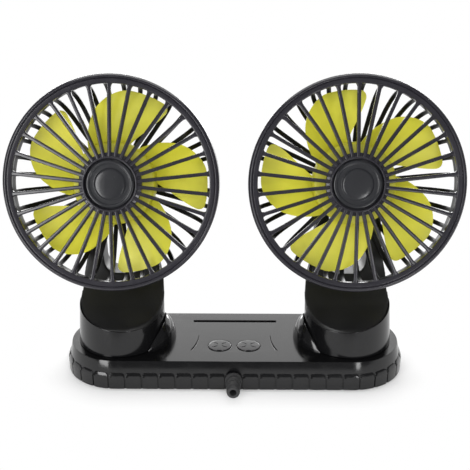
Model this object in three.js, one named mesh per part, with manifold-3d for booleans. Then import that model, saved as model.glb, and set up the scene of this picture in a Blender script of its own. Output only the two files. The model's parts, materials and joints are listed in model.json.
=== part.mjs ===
// A dual head car fan: a long base with two turrets that swivel, a fork on each that carries a caged
// fan head which tilts, and two push buttons on the deck between them.
// Millimetres, +X to the right, +Y to the back, +Z up. The origin is under the middle of the base.
import * as THREE from "three";
import { mergeVertices } from "three/addons/utils/BufferGeometryUtils.js";
import Module from "manifold-3d";

const wasm = await Module();
wasm.setup();

// Gaps and overruns shared by all pieces
const weld = 0.0001;
const overrun = 1;
const cutterReach = 120;
const seatGap = 0.3;
const runningGap = 0.4;

// Base housing
const turretPitch = 158;
const baseHeight = 20;
const rimRadius = 38.35;
const rimHeight = 9;
const rimBottom = 0.6;
const topRadius = 34.9;
const grooveDepth = 0.9;
const grooveWidth = 1.4;
const grooveCount = 50;
const padTop = 12.3;
const housingWall = 2.1;
const deckThickness = 2.4;

// Pocket and dished scoop round each turret
const pocketRadius = 32;
const pocketFloor = 16;
const scoopRadius = 38.25;
const scoopDepth = 3;

// Grooves in the deck
const slotHalfLength = 30.4;
const slotY = 22.3;
const slotWidth = 3;
const slotDepth = 1.2;
const sideGrooveWidth = 1.1;
const sideGrooveTopX = 25.2;
const sideGrooveFootX = 29;
const sideGrooveFootY = -20;
const sideGrooveBendShare = 0.55;

// Bottom cover and mat
const matInset = 5.35;
const matThickness = 1.2;
const coverThickness = 2;
const coverBossX = 44;
const coverBossY = 24;
const coverBossRadius = 3.5;

// Control board and its switches
const boardLength = 60;
const boardDepth = 36;
const boardThickness = 1.6;
const boardHeight = 9;
const boardPostX = 26;
const boardPostY = 14;
const boardPostRadius = 2.5;
const switchWidth = 6;
const switchHeight = 3.4;
const plungerRadius = 1.7;
const plungerHeight = 0.6;

// Push buttons
const buttonX = 9.9;
const buttonY = -13.8;
const buttonHoleRadius = 8.2;
const buttonTravel = 1.2;
const buttonProud = 0.4;
const buttonCrown = 0.3;
const buttonLip = 1.2;

// Cable gland on the front of the base
const glandHeight = 8.5;
const glandReach = 16;
const glandNeckRadius = 4.1;
const glandFlangeRadius = 5.6;
const glandFlangeThickness = 1.6;
const glandLipRadius = 4.8;
const glandTipRadius = 4.1;
const glandRibCount = 3;
const glandRibHeight = 0.6;
const glandBoreRadius = 2.2;

// Leads from the board to the turrets
const leadRadius = 1.4;
const leadSag = 2.6;
const leadSides = 6;
const leadSteps = 10;

// Screws
const screwHeadRadius = 2.6;
const screwHeadHeight = 1.6;
const screwShankRadius = 1.2;
const screwLength = 6;

// Turret shell
const sleeveRadius = 30;
const sleeveTopRadius = 29.2;
const sleeveWall = 1.4;
const sleeveRimHeight = 46;
const sleeveRimSlope = 0.23;
const sleeveFloor = 2.5;
const neckRadius = 20;
const neckBore = 14;
const retainerRadius = 25;
const retainerThickness = 2.4;
const retainerScrewRadius = 17;
const yokeScrewRadius = 23;

// Yoke: a round column that opens into two arms
const yokeTopWidth = 22.2;
const crotchHeight = 63;
const crotchHalfWidth = 13;
const crotchFillet = 8;
const armThickness = 6.3;
const armTaperLength = 24.6;
const pivotBossRadius = 8.2;
const pivotPinRadius = 2.2;
const pivotHeadRadius = 4.4;
const pivotHeadThickness = 1.8;
const wireRoomHeight = 18;

// Head: places along its axis are counted from the ring's plane, forwards
const headCentreY = -9.5;
const headCentreZ = 134.6;
const headTilt = THREE.MathUtils.degToRad(14.3);
const pivotSetback = 9.4;

// Front grille
const ringRadius = 70;
const ringBandInner = 63.6;
const ringGrooveRadius = 67.1;
const ringGrooveDepth = 0.9;
const ringSkirtDepth = 13;
const ringSkirtWall = 2;
const ringFaceDepth = 3.6;
const ringEdgeDrop = 1.6;
const frontRibCount = 30;
const frontRibWidth = 2.4;
const frontRibDepth = 2.9;
const hubRimRadius = 17.8;
const hubRimInner = 16.5;
const hubRimProud = 2.9;
const hubCollarRadius = 20.3;
const hubCollarProud = 2.2;
const hubCollarDepth = 4;
const hubFloorDepth = 1.8;

// Hub cap
const capRadius = 15.6;
const capNotchRadius = 14.4;
const capNotchCount = 6;
const capNotchWidth = 5.6;
const capNotchTurn = THREE.MathUtils.degToRad(15);
const capRingInner = 12.7;
const capRingProud = 1.3;
const capLandProud = 0.8;
const capDiscRadius = 10.4;
const capDiscProud = 2.2;
const capChamfer = 0.8;

// Rear grille
const cageDepth = 35;
const rearRibCount = 36;
const rearRibWidth = 3;
const rearRibDepth = 1.9;
const rearRibInset = 0.3;
const rearPlateThickness = 2.5;
const rearShoulder = 2.8;
const rearBandDepth = 4.2;
const rearBandWall = 2.2;
const bowlCornerRadius = 52;
const rearHubRadius = 22;

// Motor and its housing
const motorRadius = 11.5;
const motorLength = 19;
const motorNoseRadius = 3.4;
const motorNoseLength = 2.2;
const motorTailRadius = 4;
const motorTailLength = 1.4;
const podWall = 1.9;
const podLength = 23.7;
const podCorner = 5;
const podCornerShare = 0.3;
const podBossRadius = 6;
const podLugRadius = 3.2;
const podLugPlace = 16;
const podLugLength = 10;
const motorScrewPlace = 8;
const shaftRadius = 1.15;
const shaftInMotor = 10;

// Fan
const bladeCount = 5;
const bladeTipRadius = 61.3;
const fanHubRadius = 27.3;
const fanHubFront = 11.5;
const fanHubDepth = 15;
const fanHubWall = 1.8;
const fanHubEdge = 1.8;
const fanHubTurn = THREE.MathUtils.degToRad(3);
const fanBossRadius = 4;
const fanBossLength = 12.5;
const bladePlane = 18.8;
const bladeRootRise = 6.4;
const bladeTipRise = 5.5;
const bladeCamber = 1.6;
const bladeThickness = 1.5;
const bladeRoundAhead = 5;
const bladeRoundBehind = 13;
const bladeSweepPower = 2.2;
const bladeAheadRoot = THREE.MathUtils.degToRad(-17.5);
const bladeBehindRoot = THREE.MathUtils.degToRad(-73.5);
const bladeBehindTip = THREE.MathUtils.degToRad(-38);
const fanPhaseLeft = THREE.MathUtils.degToRad(36.5);
const fanPhaseRight = THREE.MathUtils.degToRad(8.6);

// Counts of facets
const endFacets = 24;
const sleeveFacets = 28;
const ringFacets = 40;
const rearRingFacets = 36;
const hubFacets = 30;
const podFacets = 20;
const smallFacets = 10;
const screwFacets = 6;
const bowlSteps = 2;
const scoopSteps = 3;
const sideGrooveSteps = 6;
const bossSteps = 10;
const crotchSteps = 4;
const bladeChordShares = [0, 0.1, 0.35, 0.65, 0.9, 1];
const bladeSpanShares = [0, 0.33, 0.67, 1];

// The two sides of the fan, and the two of each fixing in a turret or a head
const sides = [
  [-1, "left"],
  [1, "right"],
];
const ends = [
  [-1, "a"],
  [1, "b"],
];

// Shares of the way from the front of the column to the pivot boss: back, up
const yokeFrontShares = [
  [0, 0],
  [0.24, 0.02],
  [0.43, 0.07],
  [0.58, 0.145],
  [0.7, 0.235],
  [0.79, 0.355],
  [0.84, 0.51],
  [0.94, 0.8],
  [1, 1],
];
// Shares of the way from the back of the column to the back of the pivot boss: back, up
const yokeBackShares = [
  [0, 0.1],
  [0.15, 0.26],
  [0.38, 0.46],
  [0.66, 0.74],
  [1, 1],
];
// Half width of the yoke from the column up to the arm's top: share of the narrowing, share of the height
const yokeWidthShares = [
  [0, 0],
  [0.2, 0.18],
  [0.76, 0.37],
  [0.98, 0.67],
  [1, 1],
];
// The column's slant, as share of the pivot's setback, share of its widening, share of its height
const yokeColumnShares = [
  [0, 0, 0],
  [0, 0, 0.105],
  [0.2, 0.15, 0.37],
  [0.4, 0.5, 0.67],
  [0.7, 1, 1.12],
];

// Sizes that follow from the ones above
const halfPitch = turretPitch / 2;
const matRadius = rimRadius - matInset;
const pivotDepth = cageDepth + pivotSetback;
const rimCoreRadius = rimRadius - grooveDepth;
const cavityCeiling = pocketFloor - deckThickness;
const deckUnderside = baseHeight - deckThickness;
const coverTop = matThickness + coverThickness;
const cavityRadius = rimCoreRadius - housingWall;
const boardTop = boardHeight + boardThickness;
const plungerTop = boardTop + switchHeight + plungerHeight;
const turretBottom = pocketFloor + runningGap;
const floorTop = turretBottom + sleeveFloor;
const neckBottom = cavityCeiling - seatGap;
const retainerBottom = neckBottom - retainerThickness;
const pivotY = headCentreY + Math.cos(headTilt) * pivotDepth;
const pivotZ = headCentreZ - Math.sin(headTilt) * pivotDepth;
const yokeRadius = sleeveTopRadius - sleeveWall - seatGap;
const armInner = yokeTopWidth - armThickness;
const podRadius = motorRadius + 2 * runningGap + podWall;
const podInnerRadius = podRadius - podWall;
const podFront = cageDepth + seatGap;
const podBack = podFront + podLength;
const rearRibFar = rearRibInset + rearRibDepth;
const skirtInner = ringRadius - ringSkirtWall;
const rearBandOuter = skirtInner - runningGap;
const screwHoleRadius = screwShankRadius + seatGap;
const shaftHoleRadius = shaftRadius + seatGap;

// Materials
function plastic(color, roughness) {
  return new THREE.MeshStandardMaterial({ color, roughness, metalness: 0 });
}

function metal(color, roughness) {
  return new THREE.MeshStandardMaterial({ color, roughness, metalness: 1 });
}

const glossBlack = plastic(0x2b2c2e, 0.28);
const deckButton = plastic(0x333437, 0.35);
const satinBlack = plastic(0x1e1e1f, 0.5);
const ribBlack = plastic(0x141415, 0.5);
const grilleGrey = plastic(0x3a3c40, 0.38);
const capGrey = plastic(0x333539, 0.3);
const fanYellow = plastic(0xc8c832, 0.4);
const rubberBlack = plastic(0x1a1a1b, 0.8);
const boardGreen = plastic(0x1d5b37, 0.6);
const switchBlack = plastic(0x222224, 0.5);
const leadBlack = plastic(0x151515, 0.6);
const motorSteel = metal(0xa9adb2, 0.35);
const screwSteel = metal(0x8f9296, 0.4);
const shaftSteel = metal(0xc2c5c9, 0.25);

// Shapes

// A closed geometry as a solid that can be joined and cut.
function solid(shape) {
  if (!shape.isBufferGeometry) return shape;
  const bare = shape.index ? shape.toNonIndexed() : shape.clone();
  bare.deleteAttribute("normal");
  bare.deleteAttribute("uv");
  const merged = mergeVertices(bare, weld);
  const corners = merged.index.array;
  const kept = [];
  for (let i = 0; i < corners.length; i += 3) {
    const [a, b, c] = corners.slice(i, i + 3);
    if (a !== b && b !== c && c !== a) kept.push(a, b, c);
  }
  return new wasm.Manifold(
    new wasm.Mesh({
      numProp: 3,
      vertProperties: merged.attributes.position.array,
      triVerts: new Uint32Array(kept),
    }),
  );
}

function join(...shapes) {
  return shapes.map(solid).reduce((whole, next) => whole.add(next));
}

function cut(whole, ...tools) {
  return tools.map(solid).reduce((left, tool) => left.subtract(tool), solid(whole));
}

function overlap(...shapes) {
  return shapes.map(solid).reduce((left, next) => left.intersect(next));
}

// A solid as a named mesh.
function named(name, material, shape) {
  const { numProp, vertProperties, triVerts } = solid(shape).getMesh();
  const geometry = new THREE.BufferGeometry();
  geometry.setAttribute("position", new THREE.BufferAttribute(vertProperties, numProp));
  geometry.setIndex(new THREE.BufferAttribute(triVerts, 1));
  geometry.computeVertexNormals();
  const mesh = new THREE.Mesh(geometry, material);
  mesh.name = name;
  return mesh;
}

// A closed profile of [radius, height] points, turned round the Z axis.
function turned(profile, facets) {
  const points = profile.map(([r, z]) => new THREE.Vector2(r, z));
  if (THREE.ShapeUtils.isClockWise(points)) points.reverse();
  points.push(points[0]);
  return new THREE.LatheGeometry(points, facets).rotateX(Math.PI / 2);
}

function rod(radius, low, high, facets = smallFacets) {
  const profile = [
    [0, low],
    [radius, low],
    [radius, high],
    [0, high],
  ];
  return turned(profile, facets);
}

function block(width, depth, low, high) {
  return new THREE.BoxGeometry(width, depth, high - low).translate(0, 0, (low + high) / 2);
}

function outline(points) {
  return new THREE.Shape(points.map(([a, b]) => new THREE.Vector2(a, b)));
}

function extruded(shape, length) {
  return new THREE.ExtrudeGeometry(shape, { depth: length, bevelEnabled: false, curveSegments: smallFacets });
}

// An outline of [y, z] points, as wide as given along X and centred on it.
function acrossX(points, width) {
  const turn = new THREE.Matrix4().makeBasis(
    new THREE.Vector3(0, 1, 0),
    new THREE.Vector3(0, 0, 1),
    new THREE.Vector3(1, 0, 0),
  );
  return extruded(outline(points), width).translate(0, 0, -width / 2).applyMatrix4(turn);
}

// A shape drawn in X and Z, as deep as given along Y and centred on it.
function acrossY(shape, depth) {
  const turn = new THREE.Matrix4().makeBasis(
    new THREE.Vector3(1, 0, 0),
    new THREE.Vector3(0, 0, 1),
    new THREE.Vector3(0, -1, 0),
  );
  return extruded(shape, depth).translate(0, 0, -depth / 2).applyMatrix4(turn);
}

// Points round a circle in X and Y.
function circle(radius, count) {
  const points = [];
  for (let i = 0; i < count; i++) {
    const angle = (i * 2 * Math.PI) / count;
    points.push([radius * Math.cos(angle), radius * Math.sin(angle)]);
  }
  return points;
}

// A rod along X from one place to another.
function rodAlongX(radius, from, to) {
  return rod(radius, from, to).rotateY(Math.PI / 2);
}

// A profile that starts and ends on the axis, carried round the base's long outline.
function roundBase(profile) {
  const end = turned(profile, endFacets);
  const mirrored = profile.filter(([r]) => r > 0).reverse().map(([r, z]) => [-r, z]);
  const middle = acrossX([...profile.filter(([r]) => r > 0), ...mirrored], turretPitch);
  return join(end.clone().translate(-halfPitch, 0, 0), end.clone().translate(halfPitch, 0, 0), middle);
}

// A skin over rings of equally many points, an even number, closed at each end with a strip across the ring.
function lofted(rings) {
  const count = rings[0].length;
  const corners = rings.flat();
  const faces = [];
  for (let ring = 0; ring < rings.length - 1; ring++) {
    for (let i = 0; i < count; i++) {
      const a = ring * count + i;
      const b = ring * count + ((i + 1) % count);
      faces.push(a, b, b + count, a, b + count, a + count);
    }
  }
  const last = (rings.length - 1) * count;
  for (let i = 0; i < count / 2 - 1; i++) {
    const opposite = count - 1 - i;
    faces.push(i, opposite - 1, i + 1, i, opposite, opposite - 1);
    faces.push(last + i, last + i + 1, last + opposite - 1, last + i, last + opposite - 1, last + opposite);
  }
  const geometry = new THREE.BufferGeometry().setFromPoints(corners);
  return geometry.setIndex(faces);
}

// A screw with its head below the seat and its shank above it.
function screw(seat, length = screwLength) {
  const profile = [
    [0, seat - screwHeadHeight],
    [screwHeadRadius, seat - screwHeadHeight],
    [screwHeadRadius, seat],
    [screwShankRadius, seat],
    [screwShankRadius, seat + length],
    [0, seat + length],
  ];
  return turned(profile, screwFacets);
}

function screwHole(low, high) {
  return rod(screwHoleRadius, low, high, screwFacets);
}

// Base

// Radius of the sloped side of the housing at a height.
function slopeRadius(height) {
  const share = (height - rimHeight) / (baseHeight - rimHeight);
  return rimCoreRadius + share * (topRadius - rimCoreRadius);
}

// A place on the rim, a distance along it from the middle of the front.
function placeOnRim(distance) {
  const bend = Math.PI * rimRadius;
  const lap = 2 * (turretPitch + bend);
  let left = distance % lap;
  if (left < halfPitch) return { x: left, y: -rimRadius, turn: 0 };
  left -= halfPitch;
  if (left < bend) return placeOnEnd(halfPitch, left / rimRadius - Math.PI / 2);
  left -= bend;
  if (left < turretPitch) return { x: halfPitch - left, y: rimRadius, turn: 0 };
  left -= turretPitch;
  if (left < bend) return placeOnEnd(-halfPitch, left / rimRadius + Math.PI / 2);
  left -= bend;
  return { x: left - halfPitch, y: -rimRadius, turn: 0 };
}

function placeOnEnd(middle, angle) {
  const x = middle + rimRadius * Math.cos(angle);
  return { x, y: rimRadius * Math.sin(angle), turn: angle + Math.PI / 2 };
}

// A groove's cutter: a lozenge whose inner half leaves a V in the rim.
function rimGroove() {
  const lozenge = new THREE.Shape();
  lozenge.moveTo(grooveWidth / 2, 0);
  lozenge.lineTo(0, grooveDepth);
  lozenge.lineTo(-grooveWidth / 2, 0);
  lozenge.lineTo(0, -grooveDepth);
  return extruded(lozenge, padTop - rimBottom + 2 * overrun).translate(0, 0, rimBottom - overrun);
}

// The rim's pads: a band whose top leans back onto the slope, with a groove between each two.
function rimPads() {
  const band = roundBase([
    [0, rimBottom],
    [rimRadius, rimBottom],
    [rimRadius, rimHeight],
    [slopeRadius(padTop), padTop],
    [0, padTop],
  ]);
  const lap = 2 * (turretPitch + Math.PI * rimRadius);
  const grooves = [];
  for (let i = 0; i < grooveCount; i++) {
    const place = placeOnRim(((i + 0.5) * lap) / grooveCount);
    grooves.push(rimGroove().rotateZ(place.turn).translate(place.x, place.y, 0));
  }
  return cut(band, ...grooves);
}

// The pocket that a turret turns in, with the concave scoop round it.
function turretPocket() {
  const profile = [
    [0, pocketFloor],
    [pocketRadius, pocketFloor],
  ];
  for (let i = 0; i <= scoopSteps; i++) {
    const share = i / scoopSteps;
    const radius = pocketRadius + share * (scoopRadius - pocketRadius);
    profile.push([radius, baseHeight - scoopDepth * (1 - share * share)]);
  }
  profile.push([scoopRadius + overrun, baseHeight + overrun]);
  profile.push([0, baseHeight + overrun]);
  return turned(profile, endFacets);
}

function deckSideGroove(side) {
  const start = new THREE.Vector2(side * sideGrooveTopX, 0);
  const bend = new THREE.Vector2(side * sideGrooveTopX, sideGrooveFootY * sideGrooveBendShare);
  const foot = new THREE.Vector2(side * sideGrooveFootX, sideGrooveFootY);
  const line = new THREE.QuadraticBezierCurve(start, bend, foot).getPoints(sideGrooveSteps);
  const left = line.map((p) => [p.x - sideGrooveWidth / 2, p.y]);
  const right = line.map((p) => [p.x + sideGrooveWidth / 2, p.y]).reverse();
  const points = [...left, ...right];
  return extruded(outline(points), slotDepth + overrun).translate(0, 0, baseHeight - slotDepth);
}

function deckGrooves() {
  const slot = block(2 * slotHalfLength, slotWidth, baseHeight - slotDepth, baseHeight + overrun);
  return [slot.translate(0, slotY, 0), deckSideGroove(-1), deckSideGroove(1)];
}

function fourPlaces(x, y) {
  return [
    [-x, -y],
    [x, -y],
    [x, y],
    [-x, y],
  ];
}

function baseHousing() {
  const outside = roundBase([
    [0, rimBottom],
    [rimCoreRadius, rimBottom],
    [rimCoreRadius, rimHeight],
    [topRadius, baseHeight],
    [0, baseHeight],
  ]);
  const inside = roundBase([
    [0, rimBottom - overrun],
    [cavityRadius, rimBottom - overrun],
    [cavityRadius, rimHeight],
    [slopeRadius(cavityCeiling) - housingWall, cavityCeiling],
    [0, cavityCeiling],
  ]);
  const roomLength = turretPitch - 2 * (scoopRadius + housingWall);
  const roomDepth = 2 * (slotY + slotWidth + housingWall);
  const underDeck = block(roomLength, roomDepth, rimHeight, deckUnderside);
  const bosses = fourPlaces(coverBossX, coverBossY).map(([x, y]) =>
    rod(coverBossRadius, coverTop, cavityCeiling + overrun).translate(x, y, 0),
  );
  const bossHoles = fourPlaces(coverBossX, coverBossY).map(([x, y]) =>
    screwHole(coverTop - overrun, coverTop + screwLength).translate(x, y, 0),
  );
  const turretCuts = [-1, 1].flatMap((side) => [
    turretPocket().translate(side * halfPitch, 0, 0),
    rod(neckRadius + runningGap, cavityCeiling - overrun, pocketFloor + overrun, endFacets).translate(
      side * halfPitch,
      0,
      0,
    ),
  ]);
  const buttonHoles = [-1, 1].map((side) =>
    rod(buttonHoleRadius, deckUnderside - overrun, baseHeight + overrun, podFacets).translate(
      side * buttonX,
      buttonY,
      0,
    ),
  );
  const glandHole = rod(glandNeckRadius + seatGap, 0, rimRadius + overrun)
    .rotateX(Math.PI / 2)
    .translate(0, -cavityRadius + housingWall, glandHeight);
  const shell = cut(join(outside, rimPads()), inside, underDeck, ...turretCuts, ...buttonHoles);
  return cut(join(shell, ...bosses), ...bossHoles, ...deckGrooves(), glandHole);
}

function bottomCover() {
  const plate = roundBase([
    [0, matThickness],
    [cavityRadius - seatGap, matThickness],
    [cavityRadius - seatGap, coverTop],
    [0, coverTop],
  ]);
  const posts = fourPlaces(boardPostX, boardPostY).map(([x, y]) =>
    rod(boardPostRadius, coverTop - overrun, boardHeight).translate(x, y, 0),
  );
  const postHoles = boardScrewPlaces().map(([x, y]) =>
    screwHole(coverTop, boardHeight + overrun).translate(x, y, 0),
  );
  const screwSeats = fourPlaces(coverBossX, coverBossY).flatMap(([x, y]) => [
    screwHole(0, coverTop + overrun).translate(x, y, 0),
    rod(screwHeadRadius + seatGap, 0, matThickness + screwHeadHeight, smallFacets).translate(x, y, 0),
  ]);
  return cut(join(plate, ...posts), ...postHoles, ...screwSeats);
}

function nonSlipMat() {
  return roundBase([
    [0, 0],
    [matRadius, 0],
    [matRadius, matThickness],
    [0, matThickness],
  ]);
}

function boardScrewPlaces() {
  return [
    [-boardPostX, boardPostY],
    [boardPostX, -boardPostY],
  ];
}

function controlBoard() {
  const plate = block(boardLength, boardDepth, boardHeight, boardTop);
  const holes = boardScrewPlaces().map(([x, y]) =>
    screwHole(boardHeight - overrun, boardTop + overrun).translate(x, y, 0),
  );
  return cut(plate, ...holes);
}

function buttonSwitch() {
  const body = block(switchWidth, switchWidth, boardTop, boardTop + switchHeight);
  return join(body, rod(plungerRadius, boardTop + switchHeight - overrun, plungerTop));
}

// A push button: a crowned cap through the deck, with a lip under it.
function pushButton() {
  const cap = buttonHoleRadius - seatGap;
  const lipTop = deckUnderside - seatGap;
  return turned(
    [
      [0, plungerTop + buttonTravel + seatGap],
      [buttonHoleRadius + buttonLip, plungerTop + buttonTravel + seatGap],
      [buttonHoleRadius + buttonLip, lipTop],
      [cap, lipTop],
      [cap, baseHeight],
      [cap - buttonProud, baseHeight + buttonProud],
      [0, baseHeight + buttonProud + buttonCrown],
    ],
    podFacets,
  );
}

// The gland: a flange outside the rim, a ribbed taper with an open bore, and a lip inside the wall.
function cableGland() {
  const flangeBack = rimRadius + seatGap;
  const flangeFront = flangeBack + glandFlangeThickness;
  const tip = rimRadius + glandReach;
  const lipFront = slopeRadius(cavityCeiling) - housingWall - seatGap;
  const outside = [
    [glandLipRadius, lipFront - glandFlangeThickness],
    [glandLipRadius, lipFront],
    [glandNeckRadius, lipFront],
    [glandNeckRadius, flangeBack],
    [glandFlangeRadius, flangeBack],
    [glandFlangeRadius, flangeFront],
  ];
  const root = glandFlangeRadius - glandRibHeight;
  for (let i = 1; i <= 2 * glandRibCount; i++) {
    const share = i / (2 * glandRibCount + 1);
    const place = flangeFront + share * (tip - flangeFront);
    const taper = root + share * (glandTipRadius - root);
    const ribbed = i % 2 === 0 ? taper + glandRibHeight / 2 : taper - glandRibHeight / 2;
    outside.push([ribbed, place]);
  }
  outside.push([glandTipRadius, tip]);
  const bore = [
    [glandBoreRadius, tip],
    [glandBoreRadius, lipFront - glandFlangeThickness],
  ];
  return turned([...outside, ...bore], smallFacets).rotateX(Math.PI / 2).translate(0, 0, glandHeight);
}

// A lead from the board's end to the middle of a turret's neck.
function turretLead(side) {
  const low = coverTop + leadSag + leadRadius;
  const points = [
    [boardLength / 2 + seatGap, boardHeight + boardThickness / 2],
    [boardLength / 2 + leadSag * 2, boardHeight],
    [halfPitch - neckRadius, low],
    [halfPitch - neckBore / 2, low],
    [halfPitch - leadRadius / 2, retainerBottom],
    [halfPitch, pocketFloor],
    [halfPitch, floorTop],
  ];
  const route = new THREE.CatmullRomCurve3(points.map(([x, z]) => new THREE.Vector3(side * x, 0, z)));
  const section = outline(circle(leadRadius, leadSides));
  return new THREE.ExtrudeGeometry(section, { extrudePath: route, steps: leadSteps, bevelEnabled: false });
}

function baseAssembly() {
  const group = new THREE.Group();
  group.add(named("base_housing", glossBlack, baseHousing()));
  group.add(named("bottom_cover", satinBlack, bottomCover()));
  group.add(named("non_slip_mat", rubberBlack, nonSlipMat()));
  group.add(named("control_board", boardGreen, controlBoard()));
  group.add(named("cable_gland", rubberBlack, cableGland()));
  fourPlaces(coverBossX, coverBossY).forEach(([x, y], i) => {
    const fixing = named(`cover_screw_${i + 1}`, screwSteel, screw(matThickness + screwHeadHeight));
    fixing.position.set(x, y, 0);
    group.add(fixing);
  });
  boardScrewPlaces().forEach(([x, y], i) => {
    const upright = screw(-boardTop, boardTop - coverTop - seatGap).rotateX(Math.PI);
    const fixing = named(`board_screw_${i + 1}`, screwSteel, upright);
    fixing.position.set(x, y, 0);
    group.add(fixing);
  });
  for (const [side, word] of sides) {
    const contact = named(`button_switch_${word}`, switchBlack, buttonSwitch());
    contact.position.set(side * buttonX, buttonY, 0);
    const button = named(`button_${word}`, deckButton, pushButton());
    button.position.set(side * buttonX, buttonY, 0);
    group.add(contact, button, named(`turret_lead_${word}`, leadBlack, turretLead(side)));
  }
  return group;
}

// Turret, in its own frame: its swivel axis is the Z axis.

function aboveRim() {
  const tool = block(cutterReach, cutterReach, 0, cutterReach);
  return tool.rotateX(Math.atan(sleeveRimSlope)).translate(0, 0, sleeveRimHeight);
}

function turretShell() {
  const top = sleeveRimHeight + sleeveRimSlope * sleeveRadius + overrun;
  const shell = turned(
    [
      [neckBore, neckBottom],
      [neckRadius, neckBottom],
      [neckRadius, turretBottom],
      [sleeveRadius, turretBottom],
      [sleeveTopRadius, top],
      [sleeveTopRadius - sleeveWall, top],
      [sleeveRadius - sleeveWall, floorTop],
      [neckBore, floorTop],
    ],
    sleeveFacets,
  );
  const holes = [-1, 1].flatMap((side) => [
    screwHole(neckBottom - overrun, floorTop - overrun).translate(0, side * retainerScrewRadius, 0),
    screwHole(turretBottom - overrun, floorTop + overrun).translate(side * yokeScrewRadius, 0, 0),
    rod(screwHeadRadius + seatGap, turretBottom - overrun, turretBottom + screwHeadHeight).translate(
      side * yokeScrewRadius,
      0,
      0,
    ),
  ]);
  return cut(shell, aboveRim(), ...holes);
}

function swivelRetainer() {
  const ring = turned(
    [
      [neckBore, retainerBottom],
      [retainerRadius, retainerBottom],
      [retainerRadius, neckBottom],
      [neckBore, neckBottom],
    ],
    sleeveFacets / 2,
  );
  const holes = [-1, 1].map((side) =>
    screwHole(retainerBottom - overrun, neckBottom + overrun).translate(0, side * retainerScrewRadius, 0),
  );
  return cut(ring, ...holes);
}

// The yoke's outline from the side: a concave front, a leaning back and a round pivot boss.
function yokeSide() {
  const frontLow = sleeveRimHeight - sleeveRimSlope * sleeveRadius;
  const frontSpan = pivotY - pivotBossRadius + yokeRadius;
  const frontRise = pivotZ - pivotBossRadius - frontLow;
  const front = yokeFrontShares.map(([back, up]) => [
    back * frontSpan - yokeRadius,
    frontLow + up * frontRise,
  ]);
  const boss = [];
  for (let i = 0; i <= bossSteps; i++) {
    const angle = Math.PI * (1 - i / bossSteps);
    boss.push([pivotY + pivotBossRadius * Math.cos(angle), pivotZ + pivotBossRadius * Math.sin(angle)]);
  }
  const backSpan = pivotY + pivotBossRadius - yokeRadius;
  const backRise = pivotZ - sleeveRimHeight;
  const back = yokeBackShares.map(([out, up]) => [
    yokeRadius + out * backSpan,
    sleeveRimHeight + up * backRise,
  ]);
  back.pop();
  return [[-yokeRadius, floorTop], ...front, ...boss, ...back.reverse(), [yokeRadius, floorTop]];
}

// The yoke's outline from the front: a column that narrows into two arms round a rounded crotch.
function yokeFront() {
  const top = pivotZ + pivotBossRadius + overrun;
  const rise = top - sleeveRimHeight;
  const edge = yokeWidthShares.map(([narrow, up]) => [
    yokeRadius + narrow * (yokeTopWidth - yokeRadius),
    sleeveRimHeight + up * rise,
  ]);
  const inner = [
    [armInner, top],
    [armInner, pivotZ - pivotBossRadius],
    [crotchHalfWidth, pivotZ - armTaperLength],
  ];
  for (let i = 0; i <= crotchSteps; i++) {
    const angle = (i / crotchSteps) * (Math.PI / 2);
    inner.push([
      crotchHalfWidth - crotchFillet * (1 - Math.cos(angle)),
      crotchHeight + crotchFillet * (1 - Math.sin(angle)),
    ]);
  }
  const right = [[yokeRadius, floorTop], ...edge, ...inner];
  const left = right.map(([x, z]) => [-x, z]).reverse();
  return outline([...right, ...left]);
}

function columnRing({ y, r, z }) {
  return circle(r, sleeveFacets).map(([across, back]) => new THREE.Vector3(across, y + back, z));
}

// The slanting round column that the yoke is cut out of.
function yokeColumn() {
  const rise = pivotZ - sleeveRimHeight;
  const levels = yokeColumnShares.map(([shift, widen, up]) => ({
    y: shift * pivotY,
    r: yokeRadius + widen * pivotBossRadius,
    z: sleeveRimHeight + up * rise,
  }));
  levels.unshift({ y: 0, r: yokeRadius, z: floorTop });
  return lofted(levels.map((level) => columnRing(level)));
}

function yoke() {
  const body = overlap(yokeColumn(), acrossX(yokeSide(), cutterReach), acrossY(yokeFront(), cutterReach));
  const wireRoom = rod(neckBore, floorTop - overrun, floorTop + wireRoomHeight);
  const reach = yokeTopWidth + overrun;
  const pivotHole = rodAlongX(pivotPinRadius + seatGap, -reach, reach).translate(0, pivotY, pivotZ);
  const seats = [-1, 1].map((side) =>
    rodAlongX(pivotHeadRadius + seatGap, yokeTopWidth - pivotHeadThickness, reach)
      .rotateZ(side > 0 ? 0 : Math.PI)
      .translate(0, pivotY, pivotZ),
  );
  const screwHoles = [-1, 1].map((side) =>
    screwHole(floorTop - overrun, floorTop + screwLength).translate(side * yokeScrewRadius, 0, 0),
  );
  return cut(body, wireRoom, pivotHole, ...seats, ...screwHoles);
}

function turretAssembly(side, word) {
  const group = new THREE.Group();
  group.position.set(side * halfPitch, 0, 0);
  group.add(named(`turret_shell_${word}`, glossBlack, turretShell()));
  group.add(named(`yoke_${word}`, satinBlack, yoke()));
  group.add(named(`swivel_retainer_${word}`, satinBlack, swivelRetainer()));
  for (const [end, where] of ends) {
    const below = named(`retainer_screw_${word}_${where}`, screwSteel, screw(retainerBottom));
    below.position.set(0, end * retainerScrewRadius, 0);
    const inside = named(`yoke_screw_${word}_${where}`, screwSteel, screw(turretBottom + screwHeadHeight));
    inside.position.set(end * yokeScrewRadius, 0, 0);
    group.add(below, inside);
  }
  return group;
}

// Head, in its own frame: Z points out of the front, Y up the face, and the ring's plane is at zero.

function frontRing() {
  return turned(
    [
      [ringBandInner, -ringFaceDepth],
      [ringBandInner, -ringGrooveDepth],
      [ringGrooveRadius - ringGrooveDepth / 2, 0],
      [ringGrooveRadius, -ringGrooveDepth],
      [ringGrooveRadius + ringGrooveDepth / 2, 0],
      [ringRadius, -ringEdgeDrop],
      [ringRadius, -ringSkirtDepth],
      [skirtInner, -ringSkirtDepth],
      [skirtInner, -ringFaceDepth],
    ],
    ringFacets,
  ).rotateZ(Math.PI / ringFacets);
}

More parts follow.
